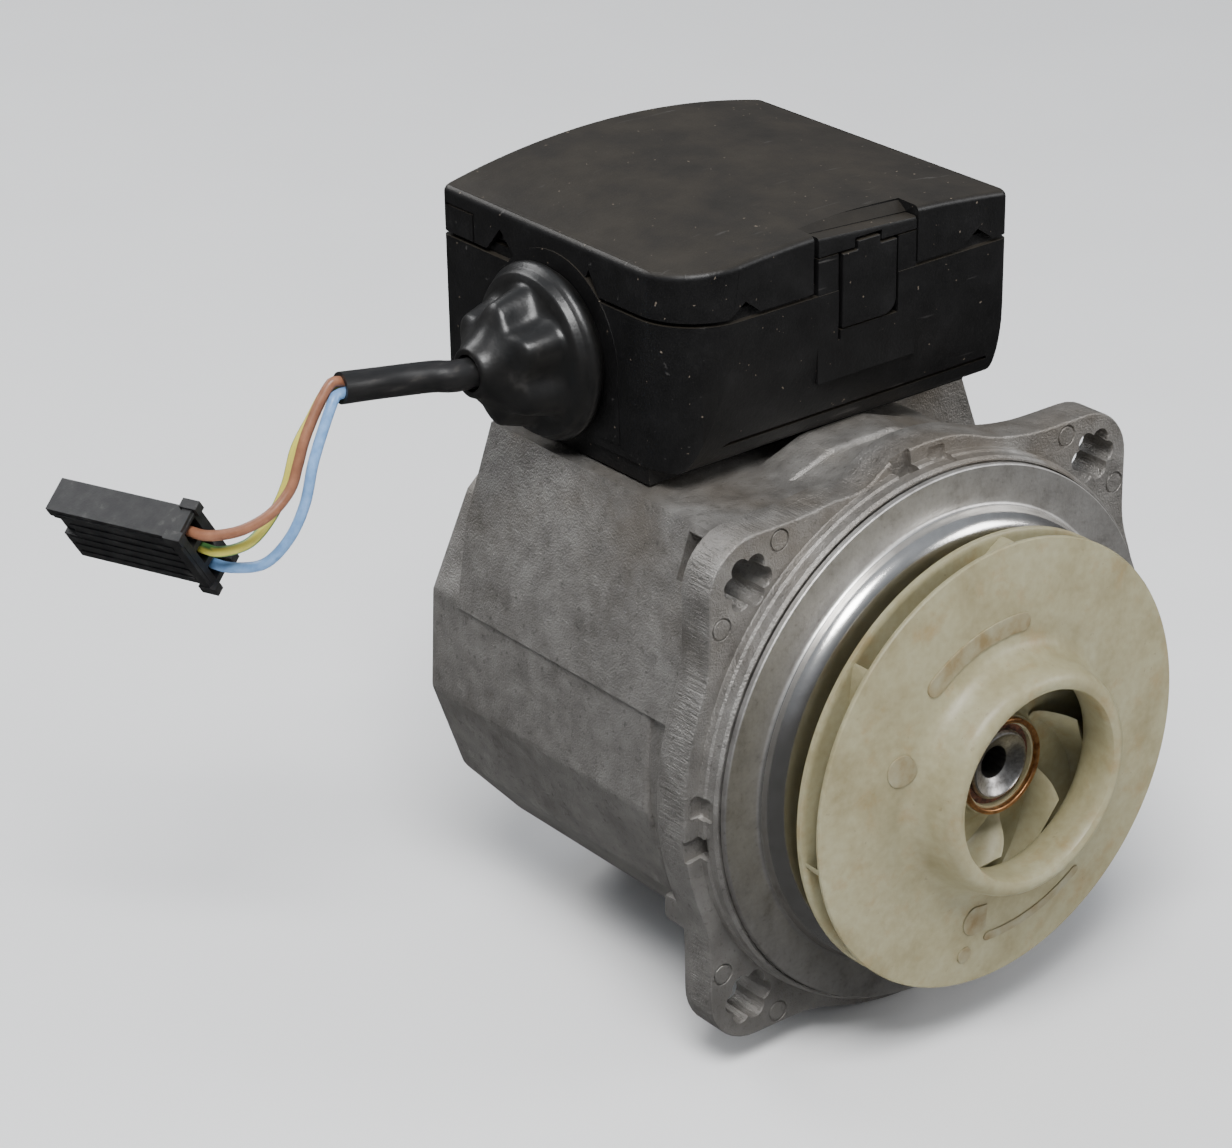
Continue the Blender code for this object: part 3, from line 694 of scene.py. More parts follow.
# Vertical trim marks run across the flange's outer edge
facing = node(tree, "ShaderNodeSeparateXYZ", {
    "Vector": node(tree, "ShaderNodeTexCoord", output="Normal")
}, "Y")
sideways = node(tree, "ShaderNodeMath", {0: facing}, operation="ABSOLUTE")
edge_only = ramp(tree, sideways, [(0.25, 1.0), (0.45, 0.0)])
along_shaft = node(tree, "ShaderNodeSeparateXYZ", {"Vector": object_place(tree)}, "Y")
on_flange = ramp(tree, node(tree, "ShaderNodeMapRange", {
    "Value": along_shaft, "From Min": 0.0, "From Max": 0.030,
}), [(0.17, 0.0), (0.20, 1.0), (0.36, 1.0), (0.42, 0.0)])
trim_lines = grain(tree, 0.00075, 3, stretch=(1, 9, 1), rough=0.7, seed=5.0)
trim_share = node(tree, "ShaderNodeMath", {0: edge_only, 1: on_flange}, operation="MULTIPLY")
trim_marks = node(tree, "ShaderNodeMath", {0: trim_share, 1: trim_lines}, operation="MULTIPLY")
skin = raise_surface(tree, shader, sand, 0.00022)
skin = raise_surface(tree, shader, fine_blotches, 0.00025, skin)
raise_surface(tree, shader, trim_marks, 0.00036, skin)

# The casting's rounded edges get a light colour: partly rubbed bright metal, partly a painted
# highlight where the bevels meet the light.
rubbed_and_highlit_edge, tree, shader = finish("rubbed_casting_edge_with_painted_highlight", (0.74, 0.73, 0.71), 0.34, 0.9)
edge_mottle = grain(tree, 0.0022, 4, rough=0.65)
colour_from(tree, shader, ramp(tree, edge_mottle, [
    (0.32, (0.30, 0.28, 0.255)), (0.52, (0.58, 0.57, 0.55)), (0.75, (0.72, 0.71, 0.69)),
]))
roughness_from(tree, shader, edge_mottle, 0.24, 0.46)
raise_surface(tree, shader, grain(tree, 0.0005, 3), 0.00006)

casting = as_object(
    "motor_casting", casting_mesh, "root", cast_metal, 30, rubbed_and_highlit_edge
)
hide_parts("motor_housing")


# Bearing plate. Drawn stainless sheet: a flat sealing ring, stained by old gasket and water, and
# a rolled shoulder that is polished bright, with a second small step inside it.

plate_edge = 0.0498
plate_profile = [
    (0.0120, 0.0043), (0.0338, 0.0043), (0.0346, 0.0037), (0.0362, 0.0037), (0.0371, 0.0045),
    *arc((0.0386, 0.0008), 0.0038, 80, 0, 14), (0.04255, 0.0004), (0.0428, 0.00012),
    (0.0432, 0.0), (plate_edge - 0.0002, 0.0), (plate_edge, -0.0002),
    (plate_edge, -0.0011), (0.0414, -0.0011), *arc((0.0386, 0.0008), 0.0028, 0, 80, 6),
    (0.0362, 0.0028), (0.0346, 0.0028), (0.0338, 0.0035), (0.0130, 0.0035), (0.0130, -0.0060),
    (0.0120, -0.0060),
]
plate_mesh = turned_mesh("pressed_plate", plate_profile, 192, facing_front)
pressed, tree, shader = finish("pressed_stainless", (0.62, 0.61, 0.59), 0.22, 1.0)
place = node(tree, "ShaderNodeSeparateXYZ", {"Vector": object_place(tree)}, "Y")
on_ring = ramp(tree, node(tree, "ShaderNodeMapRange", {
    "Value": place, "From Min": -0.0020, "From Max": 0.0010,
}), [(0.42, 0.0), (0.62, 1.0)])
stains = grain(tree, 0.0060, 6, rough=0.68)
specks = grain(tree, 0.00085, 3, seed=2.0)
stained = blend_colours(
    tree, 0.28,
    ramp(tree, stains, [(0.28, (0.36, 0.335, 0.31)), (0.46, (0.62, 0.60, 0.575)),
                        (0.66, (0.76, 0.745, 0.72))]),
    ramp(tree, specks, [(0.26, (0.22, 0.195, 0.17)), (0.38, (0.62, 0.60, 0.575)),
                        (0.72, (0.80, 0.79, 0.77))]),
)
polished = ramp(tree, grain(tree, 0.004, 3), [(0.3, (0.60, 0.585, 0.56)), (0.7, (0.70, 0.69, 0.67))])
colour_from(tree, shader, blend_colours(tree, on_ring, polished, stained))
dull = node(tree, "ShaderNodeMapRange", {"Value": on_ring, "To Min": 0.20, "To Max": 0.50})
tree.links.new(dull, shader.inputs["Roughness"])
ring_specks = node(tree, "ShaderNodeMath", {0: specks, 1: on_ring}, operation="MULTIPLY")
skin = raise_surface(tree, shader, ring_specks, 0.00006)
raise_surface(tree, shader, grain(tree, 0.0007, 3), 0.000012, skin)
plate = as_object("pressed_plate", plate_mesh, "root", pressed, 40)
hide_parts("bearing_plate")


# Impeller. Two glass-filled grey-green mouldings welded into one closed wheel: the back disc
# carries seven swept vanes with twisted leading edges, the front shroud rises to the eye.

wheel_radius = 0.0416
vane_count = 7
vane_sweep = math.radians(78)


def spline_profile(points, spacing=0.0007):
    """A smooth line through points of a profile."""
    return [(p.x, p.y) for p in smooth_route([(x, y, 0) for x, y in points], spacing)]


shroud_outside = spline_profile([
    (0.0184, 0.0243), (0.0196, 0.0241), (0.0206, 0.0231), (0.0212, 0.0212), (0.0217, 0.0190),
    (0.0227, 0.0170), (0.0245, 0.0159), (0.0285, 0.0155), (0.0350, 0.0150), (0.0408, 0.01445),
])
shroud_inside = spline_profile([
    (0.0408, 0.0134), (0.0350, 0.0134), (0.0280, 0.0135), (0.0220, 0.0139), (0.0193, 0.0150),
    (0.0180, 0.0166), (0.0174, 0.0195), (0.0173, 0.0228), (0.0177, 0.0240),
])
shroud_profile = [
    *shroud_outside, (0.0414, 0.01438), (wheel_radius, 0.01415), (wheel_radius, 0.0137),
    (0.0414, 0.01345), *shroud_inside,
]
shroud_mesh = turned_mesh("impeller_shroud", shroud_profile, 192, facing_front)


back_outside = spline_profile([
    (0.0092, 0.0138), (0.0098, 0.0122), (0.0120, 0.0106), (0.0160, 0.01005), (0.0220, 0.0099),
    (0.0412, 0.0099),
])
back_profile = [
    (0.0076, 0.0140), (0.0088, 0.0140), *back_outside, (wheel_radius, 0.0096),
    (wheel_radius, 0.0088), (0.0413, 0.0085), (0.0170, 0.0085), (0.0140, 0.0066), (0.0067, 0.0066),
    (0.0067, 0.0105), (0.0076, 0.0105),
]
back_mesh = turned_mesh("impeller_disc", back_profile, 192, facing_front)


def vane_mesh(first_angle):
    """One vane, lofted between its root on the disc and its tip on the shroud."""
    form = bmesh.new()
    along_steps, up_steps = 26, 8
    grid = []
    for i in range(along_steps + 1):
        share = i / along_steps
        column = []
        for j in range(up_steps + 1):
            up = j / up_steps
            inlet = 0.0104 + (0.0174 - 0.0104) * up ** 0.75
            radius = inlet + (wheel_radius - 0.0006 - inlet) * share
            root = 0.0096 + 0.0022 * max(0.0, (0.0130 - radius) / 0.0030)
            rise = max(0.0, 1 - (radius - 0.0150) / 0.0080) if radius > 0.0150 else 1.0
            tip = 0.01355 + 0.0035 * rise ** 1.6
            along = root + (tip - root) * up
            lean = math.radians(18) * (1 - up) * (1 - share) ** 1.5
            angle = first_angle + lean - vane_sweep * share ** 0.75
            half = 0.00075 - 0.0003 * share - 0.0002 * (1 - share) ** 6
            pair = []
            for side in (-1, 1):
                a = angle + side * half / radius
                pair.append(form.verts.new((radius * math.cos(a), -along, radius * math.sin(a))))
            column.append(pair)
        grid.append(column)
    for i in range(along_steps):
        for j in range(up_steps):
            for side in (0, 1):
                corners = [grid[i][j][side], grid[i + 1][j][side], grid[i + 1][j + 1][side],
                           grid[i][j + 1][side]]
                form.faces.new(corners if side else corners[::-1])
    for i in range(along_steps):
        for j in (0, up_steps):
            one, two = grid[i][j], grid[i + 1][j]
            form.faces.new((one[0], two[0], two[1], one[1]))
    for i in (0, along_steps):
        for j in range(up_steps):
            one, two = grid[i][j], grid[i][j + 1]
            form.faces.new((one[0], two[0], two[1], one[1]))
    bmesh.ops.recalc_face_normals(form, faces=form.faces)
    mesh = bpy.data.meshes.new("vane")
    form.to_mesh(mesh)
    form.free()
    return mesh


def gathered(name, meshes):
    """Several meshes as the loose bodies of one."""
    form = bmesh.new()
    for mesh in meshes:
        form.from_mesh(mesh)
    made = bpy.data.meshes.new(name)
    form.to_mesh(made)
    form.free()
    return made


vanes = [vane_mesh(math.radians(10 + 360 * number / vane_count)) for number in range(vane_count)]

noryl, tree, shader = finish("glass_filled_moulding", (0.40, 0.385, 0.29), 0.42)
flow = grain(tree, 0.011, 5, rough=0.55)
fibres = grain(tree, 0.0014, 4, seed=4.0)
colour = blend_colours(
    tree, 0.35,
    ramp(tree, flow, [(0.30, (0.215, 0.180, 0.088)), (0.50, (0.300, 0.272, 0.158)),
                      (0.72, (0.350, 0.330, 0.215))]),
    ramp(tree, fibres, [(0.30, (0.235, 0.205, 0.110)), (0.70, (0.360, 0.340, 0.220))]),
)
rust = ramp(tree, grain(tree, 0.0070, 6, seed=9.0, rough=0.7), [(0.54, 0.0), (0.72, 0.6)])
colour = blend_colours(tree, rust, colour, (0.27, 0.175, 0.065, 1))
flecks = ramp(tree, grain(tree, 0.0011, 2, seed=6.0), [(0.70, 0.0), (0.78, 0.6)])
colour = blend_colours(tree, flecks, colour, (0.20, 0.16, 0.09, 1))
colour_from(tree, shader, colour)
roughness_from(tree, shader, fibres, 0.34, 0.52)
skin = raise_surface(tree, shader, flow, 0.00022)
raise_surface(tree, shader, fibres, 0.00003, skin)
shader.inputs["Subsurface Weight"].default_value = 0.06
shader.inputs["Subsurface Radius"].default_value = (0.002, 0.0018, 0.001)
shader.inputs["Subsurface Scale"].default_value = 1.0


def slot_outline(radius, start, end, width, count=14):
    """A curved slot with round ends, about the wheel's centre."""
    half = width / 2
    result = arc((0, 0), radius + half, start, end, count)
    for angle, swing, reach in ((end, 0, end), (start, 180, start)):
        tip = math.radians(reach)
        centre = (radius * math.cos(tip), radius * math.sin(tip))
        result += arc(centre, half, angle + swing, angle + swing + 180, 6)[1:-1]
        if swing == 0:
            result += arc((0, 0), radius - half, end, start, count)
    return result


def face_height(radius):
    """How far the shroud's face stands forward at a radius."""
    for (inner, low), (outer, high) in zip(shroud_outside, shroud_outside[1:]):
        if inner <= radius <= outer:
            return low + (high - low) * (radius - inner) / (outer - inner)
    return shroud_outside[-1][1]


def moulding_mark(outline, proud):
    """A low pad with soft edges that follows the shroud's face."""
    pad = settled(
        shaft_slab("mark", outline, -proud, 0.0003), bevel=proud * 0.6, angle=50
    )
    for vertex in pad.vertices:
        vertex.co.y -= face_height(math.hypot(vertex.co.x, vertex.co.z))
    return pad


D_CENTRE = (-0.0060, -0.0280)
moulding_marks = [
    moulding_mark(arc((-0.0247, 0.0081), 0.0029, 0, 345, 23), 0.00030),
    moulding_mark(slot_outline(0.0273, 84, 129, 0.0034), 0.00030),
    moulding_mark(slot_outline(0.0326, -95, -56, 0.0018), 0.00028),
    moulding_mark(arc((-0.0081, -0.0345), 0.0016, 0, 330, 11), 0.00030),
    moulding_mark([
        *arc(D_CENTRE, 0.0030, 100, 280, 14),
        (D_CENTRE[0] + 0.0024, D_CENTRE[1] - 0.0027), (D_CENTRE[0] + 0.0024, D_CENTRE[1] + 0.0026),
    ], 0.00032),
]
stained, tree, shader = finish("stained_moulding_mark", (0.25, 0.21, 0.12), 0.44)
tide = grain(tree, 0.0030, 4, seed=2.0)
colour_from(tree, shader, ramp(tree, tide, [
    (0.30, (0.20, 0.145, 0.065)), (0.50, (0.25, 0.215, 0.125)), (0.70, (0.29, 0.275, 0.185)),
]))
raise_surface(tree, shader, tide, 0.00010)
as_object(
    "impeller_moulding_marks", gathered("impeller_moulding_marks", moulding_marks),
    "rotor", stained, 40,
)

shroud = as_object("impeller_shroud", shroud_mesh, "rotor", noryl, 40)
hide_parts("impeller_front")
disc = as_object(
    "impeller_disc_and_vanes", gathered("impeller_disc_and_vanes", [back_mesh, *vanes]),
    "rotor", noryl, 40,
)
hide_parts("impeller_back")


# Shaft end and hub. The hollow steel shaft ends in a dished face round its bore; a thin copper
# ring stands round it in the hub of the wheel, with rust in the gap between them.

steel, tree, shader = finish("ground_shaft_steel", (0.33, 0.32, 0.31), 0.36, 1.0)
turning = grain(tree, 0.0006, 3, stretch=(1, 3, 1))
colour_from(tree, shader, ramp(tree, turning, [
    (0.3, (0.24, 0.23, 0.22)), (0.7, (0.42, 0.41, 0.40)),
]))
roughness_from(tree, shader, grain(tree, 0.002, 4), 0.28, 0.48)
raise_surface(tree, shader, turning, 0.00003)
shaft_mesh = turned_mesh("hollow_shaft", [
    (0.0029, -0.0712), (0.0062, -0.0715), (0.0064, -0.0712), (0.0064, 0.0139), (0.0061, 0.0143),
    (0.0058, 0.0144), (0.0056, 0.0141), (0.0045, 0.0134), (0.0036, 0.0131), (0.0030, 0.0126),
    (0.0029, 0.0120),
], 96, facing_front)
shaft = as_object("hollow_shaft", shaft_mesh, "rotor", steel, 30)
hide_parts("shaft")

copper, tree, shader = finish("tarnished_copper", (0.42, 0.20, 0.09), 0.36, 1.0)
colour_from(tree, shader, ramp(tree, grain(tree, 0.0013, 4), [
    (0.3, (0.25, 0.11, 0.05)), (0.6, (0.52, 0.27, 0.12)), (0.8, (0.70, 0.42, 0.20)),
]))
roughness_from(tree, shader, grain(tree, 0.001, 3), 0.28, 0.5)
ring_mesh = turned_mesh("copper_hub_ring", rounded([
    (0.0080, 0.0118), (0.0089, 0.0118), (0.0089, 0.0150), (0.0080, 0.0150),
], 0.0003), 96, facing_front)
hub_ring = as_object("copper_hub_ring", ring_mesh, "rotor", copper, 40)
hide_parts("hub_ring")

rusty, tree, shader = finish("rusted_gap", (0.10, 0.035, 0.018), 0.75)
colour_from(tree, shader, ramp(tree, grain(tree, 0.0009, 4), [
    (0.3, (0.035, 0.014, 0.009)), (0.7, (0.21, 0.075, 0.035)),
]))
raise_surface(tree, shader, grain(tree, 0.0005, 3), 0.00010)
rust_mesh = turned_mesh("rust_in_gap", [
    (0.0062, 0.0112), (0.0081, 0.0112), (0.0081, 0.0131), (0.0073, 0.0128), (0.0062, 0.0130),
], 72, facing_front)
as_object("rust_in_gap", rust_mesh, "rotor", rusty, 40)


# Terminal box base. A black moulded tray screwed to the deck: one large corner at the front left,
# a front wall that sweeps in a little near its foot, an arched seat for the gland and a tower.

box_side, box_front, box_rear = 0.0370, 0.0255, 0.0930
box_floor, box_seam = 0.0509, 0.0765
corner_radius, box_wall = 0.0120, 0.0022
gland_y, gland_z = 0.0605, 0.0643
tower_left, tower_right, crest_top, crest_fall = -0.0072, 0.0152, 0.0866, 0.0013
seam_half = 0.0003


def box_outline(inset=0.0):
    """The box seen from above: one large corner and three tight ones."""
    side, front, rear = box_side - inset, box_front + inset, box_rear - inset
    large = corner_radius - inset
    tight = max(0.0014 - inset, 0.0003)
    outline = arc((-side + large, front + large), large, 180, 270, 14)
    outline += arc((side - tight, front + tight), tight, 270, 360, 4)
    outline += arc((side - tight, rear - tight), tight, 0, 90, 4)
    outline += arc((-side + tight, rear - tight), tight, 90, 180, 4)
    return outline


def side_slab(name, outline, low, high):
    """An outline in Y and Z, extruded across the box from low to high X."""
    return slab_mesh(name, outline, low, high, Matrix(((0, 0, 1, 0), (1, 0, 0, 0), (0, 1, 0, 0),
                                                       (0, 0, 0, 1))))


def upright_hole(x, y, radius, low=0.040, high=0.070):
    return turned_mesh("upright_hole", [(0, low), (radius, low), (radius, high), (0, high)], 32,
                       Matrix.Translation((x, y, 0)))


# The sweep starts at a crease that leans towards the corner as it goes down
sweep_reach, sweep_top, tray_foot = 0.0050, 0.0735, 0.0496
sweep = [(box_front - 0.003, sweep_top), (box_front - 0.003, tray_foot - 0.003),
         (box_front + sweep_reach, tray_foot - 0.003)]
for step in range(15):
    turn = math.radians(90 * (1 - step / 14))
    sweep.append((
        box_front + sweep_reach * (1 - math.cos(turn)),
        sweep_top - (sweep_top - tray_foot) * math.sin(turn),
    ))
front_sweep = side_slab("front_sweep", sweep, -0.0290, 0.0450)
for vertex in front_sweep.vertices:
    if vertex.co.x < 0:
        vertex.co.x -= 0.35 * (sweep_top - vertex.co.z)
tray_block = settled(
    slab_mesh("terminal_box_tray", box_outline(), tray_foot, box_seam + 0.004),
    removed=[front_sweep], bevel=0.0005, angle=60, segments=3,
)
lip = settled(
    slab_mesh("lip", box_outline(0.0012), box_seam - 0.002, box_seam + 0.0016),
    removed=[slab_mesh("lip_inside", box_outline(box_wall), 0.070, 0.090)],
)
gland_seat = side_slab("gland_seat", [
    *arc((gland_y, gland_z), 0.0176, 0, 180, 24), (gland_y - 0.0176, box_floor + 0.0006),
    (gland_y + 0.0176, box_floor + 0.0006),
], -box_side - 0.0002, -box_side + 0.001)
pedestal = block_mesh("pedestal", (-0.0366, 0.0355, 0.0463), (0.0366, 0.0755, box_floor + 0.001))
tower = side_slab("tower", [
    (box_front + 0.0002, 0.0600), (box_front + 0.0050, 0.0600), (box_front + 0.0050, 0.0828),
    (box_front + 0.0002, 0.0828),
], tower_left, tower_right)
gland_hole = turned_mesh("gland_hole", [
    (0, 0.030), (0.0085, 0.030), (0.0085, 0.050), (0, 0.050),
], 48, Matrix.Translation((0, gland_y, gland_z)) @ Matrix.Rotation(-math.pi / 2, 4, "Y"))
guide_ribs = [
    block_mesh("guide_rib", (x - 0.0005, 0.0890, box_floor + 0.001), (x + 0.0005, 0.0912, 0.0700))
    for x in (-0.020, -0.007, 0.007, 0.020)
]
holder_walls = [
    block_mesh("holder_wall", (x - 0.0006, 0.0700, box_floor + 0.001), (x + 0.0006, 0.0915, 0.0570))
    for x in (-0.0085, 0.0345)
]
tray_mesh = settled(
    settled(tray_block, removed=[
        slab_mesh("tray_inside", box_outline(box_wall), box_floor + box_wall, 0.100),
        block_mesh("above_seam", (-0.05, 0.01, box_seam - seam_half), (0.05, 0.11, 0.100)),
    ]),
    [pedestal, gland_seat, tower, lip, *guide_ribs, *holder_walls],
    [
        block_mesh("catch_recess", (-0.0025, 0.0200, 0.0688), (0.0110, 0.0272, 0.0832)),
        block_mesh("side_slot", (-0.0027, 0.0205, 0.0670), (-0.0021, 0.0270, 0.0833)),
        block_mesh("tower_back", (tower_left + 0.0012, 0.0284, 0.0560),
                   (tower_right - 0.0012, 0.0310, 0.0900)),
        gland_hole,
        upright_hole(0, 0.0600, 0.0060),
        upright_hole(-0.0260, 0.0650, 0.0021),
        upright_hole(0.0260, 0.0650, 0.0021),
        upright_hole(-0.0260, 0.0450, 0.0026),
    ],
    bevel=0.00018, angle=40,
)
tray_mesh.name = "terminal_box_tray"


def moulding_finish(name, colour, dust_and_sheen, roughness):
    """Black moulded plastic: grained, handled, and lighter brown on what faces up, partly dust and
    partly a painted sheen.
    """
    made, tree, shader = finish(name, colour, roughness, Specular_IOR_Level=0.32)
    handling = grain(tree, 0.0060, 5, rough=0.6)
    hue = ramp(tree, handling, [
        (0.34, tuple(c * 0.75 for c in colour)), (0.58, colour),
        (0.80, tuple(c * 1.6 for c in colour)),
    ])
    # Faces that look up turn lighter brown: partly dust, partly a painted sheen of the light from
    # above.
    upward = node(tree, "ShaderNodeSeparateXYZ", {
        "Vector": node(tree, "ShaderNodeTexCoord", output="Normal")
    }, "Z")
    dust_and_sheen_patches = ramp(tree, grain(tree, 0.0130, 6, seed=3.0, rough=0.65), [(0.25, 0.35), (0.7, 1.0)])
    dust_and_sheen_share = node(tree, "ShaderNodeMath", {
        0: ramp(tree, upward, [(0.45, 0.0), (0.92, 1.0)]), 1: dust_and_sheen_patches,
    }, operation="MULTIPLY")
    hue = blend_colours(tree, dust_and_sheen_share, hue, (*dust_and_sheen, 1))
    specks = ramp(tree, grain(tree, 0.0010, 1, seed=8.0), [(0.765, 0.0), (0.785, 0.8)])
    hue = blend_colours(tree, specks, hue, (0.16, 0.13, 0.10, 1))
    scratches = ramp(tree, grain(tree, 0.0014, 2, stretch=(14, 1, 1), seed=5.0), [
        (0.70, 0.0), (0.76, 0.35),
    ])
    colour_from(tree, shader, blend_colours(tree, scratches, hue, (0.11, 0.105, 0.10, 1)))
    roughness_from(tree, shader, handling, roughness - 0.06, roughness + 0.14)
    skin = raise_surface(tree, shader, grain(tree, 0.00050, 2), 0.00003)
    raise_surface(tree, shader, handling, 0.00012, skin)
    return made


box_black = moulding_finish("box_moulding", (0.0070, 0.0068, 0.0070), (0.033, 0.028, 0.0215), 0.40)
tray = as_object("terminal_box_tray", tray_mesh, "root", box_black, 35)
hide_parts("terminal_box_base")


# Terminal box cover. An arched lid with a softly rounded rim closes over the lip of the tray. Small
# wedge-shaped pry notches are let into its skirt, and the catch tower stands below its crest.

lid_edge, crown_front, crown_rear = 0.0848, 0.0875, 0.0896


def arched_block(name, side, low, edge, front, rear):
    """A block under one shallow arch that rises a little towards the hinge."""
    steps = 28
    section = [(-side, low), (side, low)]
    for i in range(steps + 1):
        share = 1 - 2 * i / steps
        section.append((share * side, edge + (crown_front - lid_edge) * (1 - share ** 2)))
    mesh = shaft_slab(name, section, front, rear)
    for vertex in mesh.vertices:
        above = vertex.co.z - edge
        if above > 0:
            back = (vertex.co.y - box_front) / (box_rear - box_front)
            vertex.co.z += above * back * (crown_rear - crown_front) / (crown_front - lid_edge)
    return mesh


def skirt_notch(middle, half, top, low, depth, leftward):
    """A wedge cut in the skirt of the front wall, or of the left wall."""
    outline = [(middle - half, low), (middle + half, low), (middle + half * 0.05, top)]
    if leftward:
        return side_slab("notch", outline, -box_side - 0.001, -box_side + depth)
    return shaft_slab("notch", outline, box_front - 0.001, box_front + depth)


lid_block = settled(
    arched_block("terminal_box_lid", box_side + 0.002, 0.0740, lid_edge, 0.0240, 0.0945),
    within=[slab_mesh("lid_outline", box_outline(), 0.0700, 0.1000)],
    bevel=0.0012, angle=50, segments=4, clamp=False,
)
lid_hollow = settled(
    arched_block("lid_hollow", box_side, 0.0700, lid_edge - box_wall, box_front, box_rear),
    within=[slab_mesh("lid_inside", box_outline(box_wall), 0.0600, 0.1000)],
)
crest_gap = side_slab("crest_gap", [
    (0.0200, 0.0800), (box_front + 0.0032, 0.0800), (box_front + 0.0032, crest_top + 0.0001),
    (box_front + 0.0052, crest_top + 0.0016), (box_front + 0.0052, 0.1000), (0.0200, 0.1000),
], tower_left - 0.0012, tower_right + 0.0002)
for vertex in crest_gap.vertices:
    if vertex.co.x > 0 and 0.0840 < vertex.co.z < 0.0990:
        vertex.co.z -= crest_fall
# The crest of the lid stands over the tower, with a pocket for the tongue's tab
crest = side_slab("crest", [
    (box_front + 0.0002, 0.0831), (box_front + 0.0042, 0.0831),
    (box_front + 0.0042, crest_top - 0.0002), (box_front + 0.0026, crest_top),
    (box_front + 0.0008, crest_top), (box_front + 0.0004, crest_top - 0.0002),
    (box_front + 0.0002, crest_top - 0.0007),
], tower_left, tower_right)
for vertex in crest.vertices:
    if vertex.co.x > 0 and vertex.co.z > 0.0840:
        vertex.co.z -= crest_fall
lid_cut = settled(
    lid_block,
    removed=[
        block_mesh("below_seam", (-0.05, 0.01, 0.060), (0.05, 0.11, box_seam + seam_half + 0.0002)),
        lid_hollow,
        slab_mesh("lip_room", box_outline(0.0010), 0.0700, box_seam + 0.0021),
        block_mesh("tower_gap", (tower_left - 0.0013, 0.0200, 0.0700),
                   (tower_right + 0.0002, box_front + 0.0056, 0.0834)),
        crest_gap,
        skirt_notch(0.0755, 0.0050, 0.0816, 0.0762, 0.0018, True),
        skirt_notch(0.0506, 0.0030, 0.0812, 0.0762, 0.0018, True),
        skirt_notch(-0.0237, 0.0044, 0.0795, 0.0762, 0.0018, False),
        skirt_notch(0.0294, 0.0050, 0.0796, 0.0762, 0.0018, False),
        block_mesh("panel_line", (-box_side - 0.001, 0.0834, 0.0760),
                   (-box_side + 0.00035, 0.0838, 0.0822)),
        block_mesh("panel_top", (-box_side - 0.001, 0.0834, 0.0820),
                   (-box_side + 0.00035, 0.0916, 0.0824)),
    ],
)
lid_mesh = settled(lid_cut, [crest], [
    block_mesh("tab_pocket", (0.0010, 0.0210, 0.0820), (0.0071, 0.0272, 0.0848)),
], bevel=0.00018, angle=40)
lid_mesh.name = "terminal_box_lid"
lid = as_object("terminal_box_lid", lid_mesh, "cover", box_black, 35)
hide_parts("terminal_box_cover")


# Cover latch. A springy tongue snaps into the tower and holds the cover down; a tab stands up from
# its top edge for the tip of a screwdriver, and one lower corner is rounded.

tongue_mesh = settled(shaft_slab("latch_tongue", [
    (-0.0019, 0.0691), (0.0076, 0.0691), *arc((0.0077, 0.0719), 0.0028, -80, -10, 6),
    (0.0105, 0.0826), (0.0066, 0.0826), (0.0066, 0.0842), (0.0015, 0.0842), (0.0015, 0.0826),
    (-0.0019, 0.0826),
], 0.0254, 0.0267), bevel=0.00022, angle=50, segments=3)
tongue = as_object("latch_tongue", tongue_mesh, "latch", box_black, 35)
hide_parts("cover_latch")


# Lead boot. One soft rubber moulding: a thick rounded disc against the box, six flutes behind it
# that let the lead bend, and a short cone that hugs the jacket.

FLUTE_DEPTHS = [
    (0.0059, 0.0), (0.0066, 0.0016), (0.0078, 0.0026), (0.0100, 0.0027), (0.0125, 0.0024),
    (0.0133, 0.0020), (0.0142, 0.0010), (0.0158, 0.0002), (0.0170, 0.0),
]
boot_bore = 0.0031
boot_place = (
    Matrix.Translation((-box_side, gland_y, gland_z)) @ Matrix.Rotation(-math.pi / 2, 4, "Y")
)


def fluted(radius, along, angle):
    """The boot's radius at an angle: six round lobes with shallow valleys between them."""
    if radius <= boot_bore + 0.0001:
        return radius
    depth = 0.0
    for (low, shallow), (high, deep) in zip(FLUTE_DEPTHS, FLUTE_DEPTHS[1:]):
        if low <= along <= high:
            depth = shallow + (deep - shallow) * (along - low) / (high - low)
    valley = (0.5 - 0.5 * math.cos(6 * angle)) ** 1.1
    return radius - depth * valley


disc_edge = arc((0.0145, 0.0030), 0.0015, -75, 80, 8)
boot_profile = [
    (0.0078, 0.0003), (0.0138, 0.0003), (0.0146, 0.0007), *disc_edge[1:-1],
    (0.0150, 0.0046), (0.0147, 0.0054), (0.0143, 0.0059), (0.0134, 0.0062), (0.0129, 0.0066),
    (0.0127, 0.0075), (0.0124, 0.0087), (0.0120, 0.0100), (0.0116, 0.0113), (0.0112, 0.0125),
    (0.0109, 0.0130), (0.0104, 0.0134), (0.0097, 0.0138), (0.0088, 0.0142), (0.0078, 0.0148),
    (0.0068, 0.0156), (0.0058, 0.0165), (0.0051, 0.0173), (0.0047, 0.0180), (0.0044, 0.0186),
    (0.0040, 0.0188), (0.0033, 0.0187), (boot_bore, 0.0184), (boot_bore, 0.0010),
    (boot_bore, -0.0035), (0.0078, -0.0035),
]
boot_mesh = turned_mesh("fluted_boot", boot_profile, 144, boot_place, fluted)
gate_mark = settled(turned_mesh("gate_mark", [
    (0, 0.0155), (0.0011, 0.0155), (0.0011, 0.0162), (0, 0.0162),
], 20, Matrix.Translation((-box_side - 0.0045, gland_y, gland_z)) @ Matrix.Rotation(
    math.radians(-118), 4, "X"
)), bevel=0.0001, angle=50)

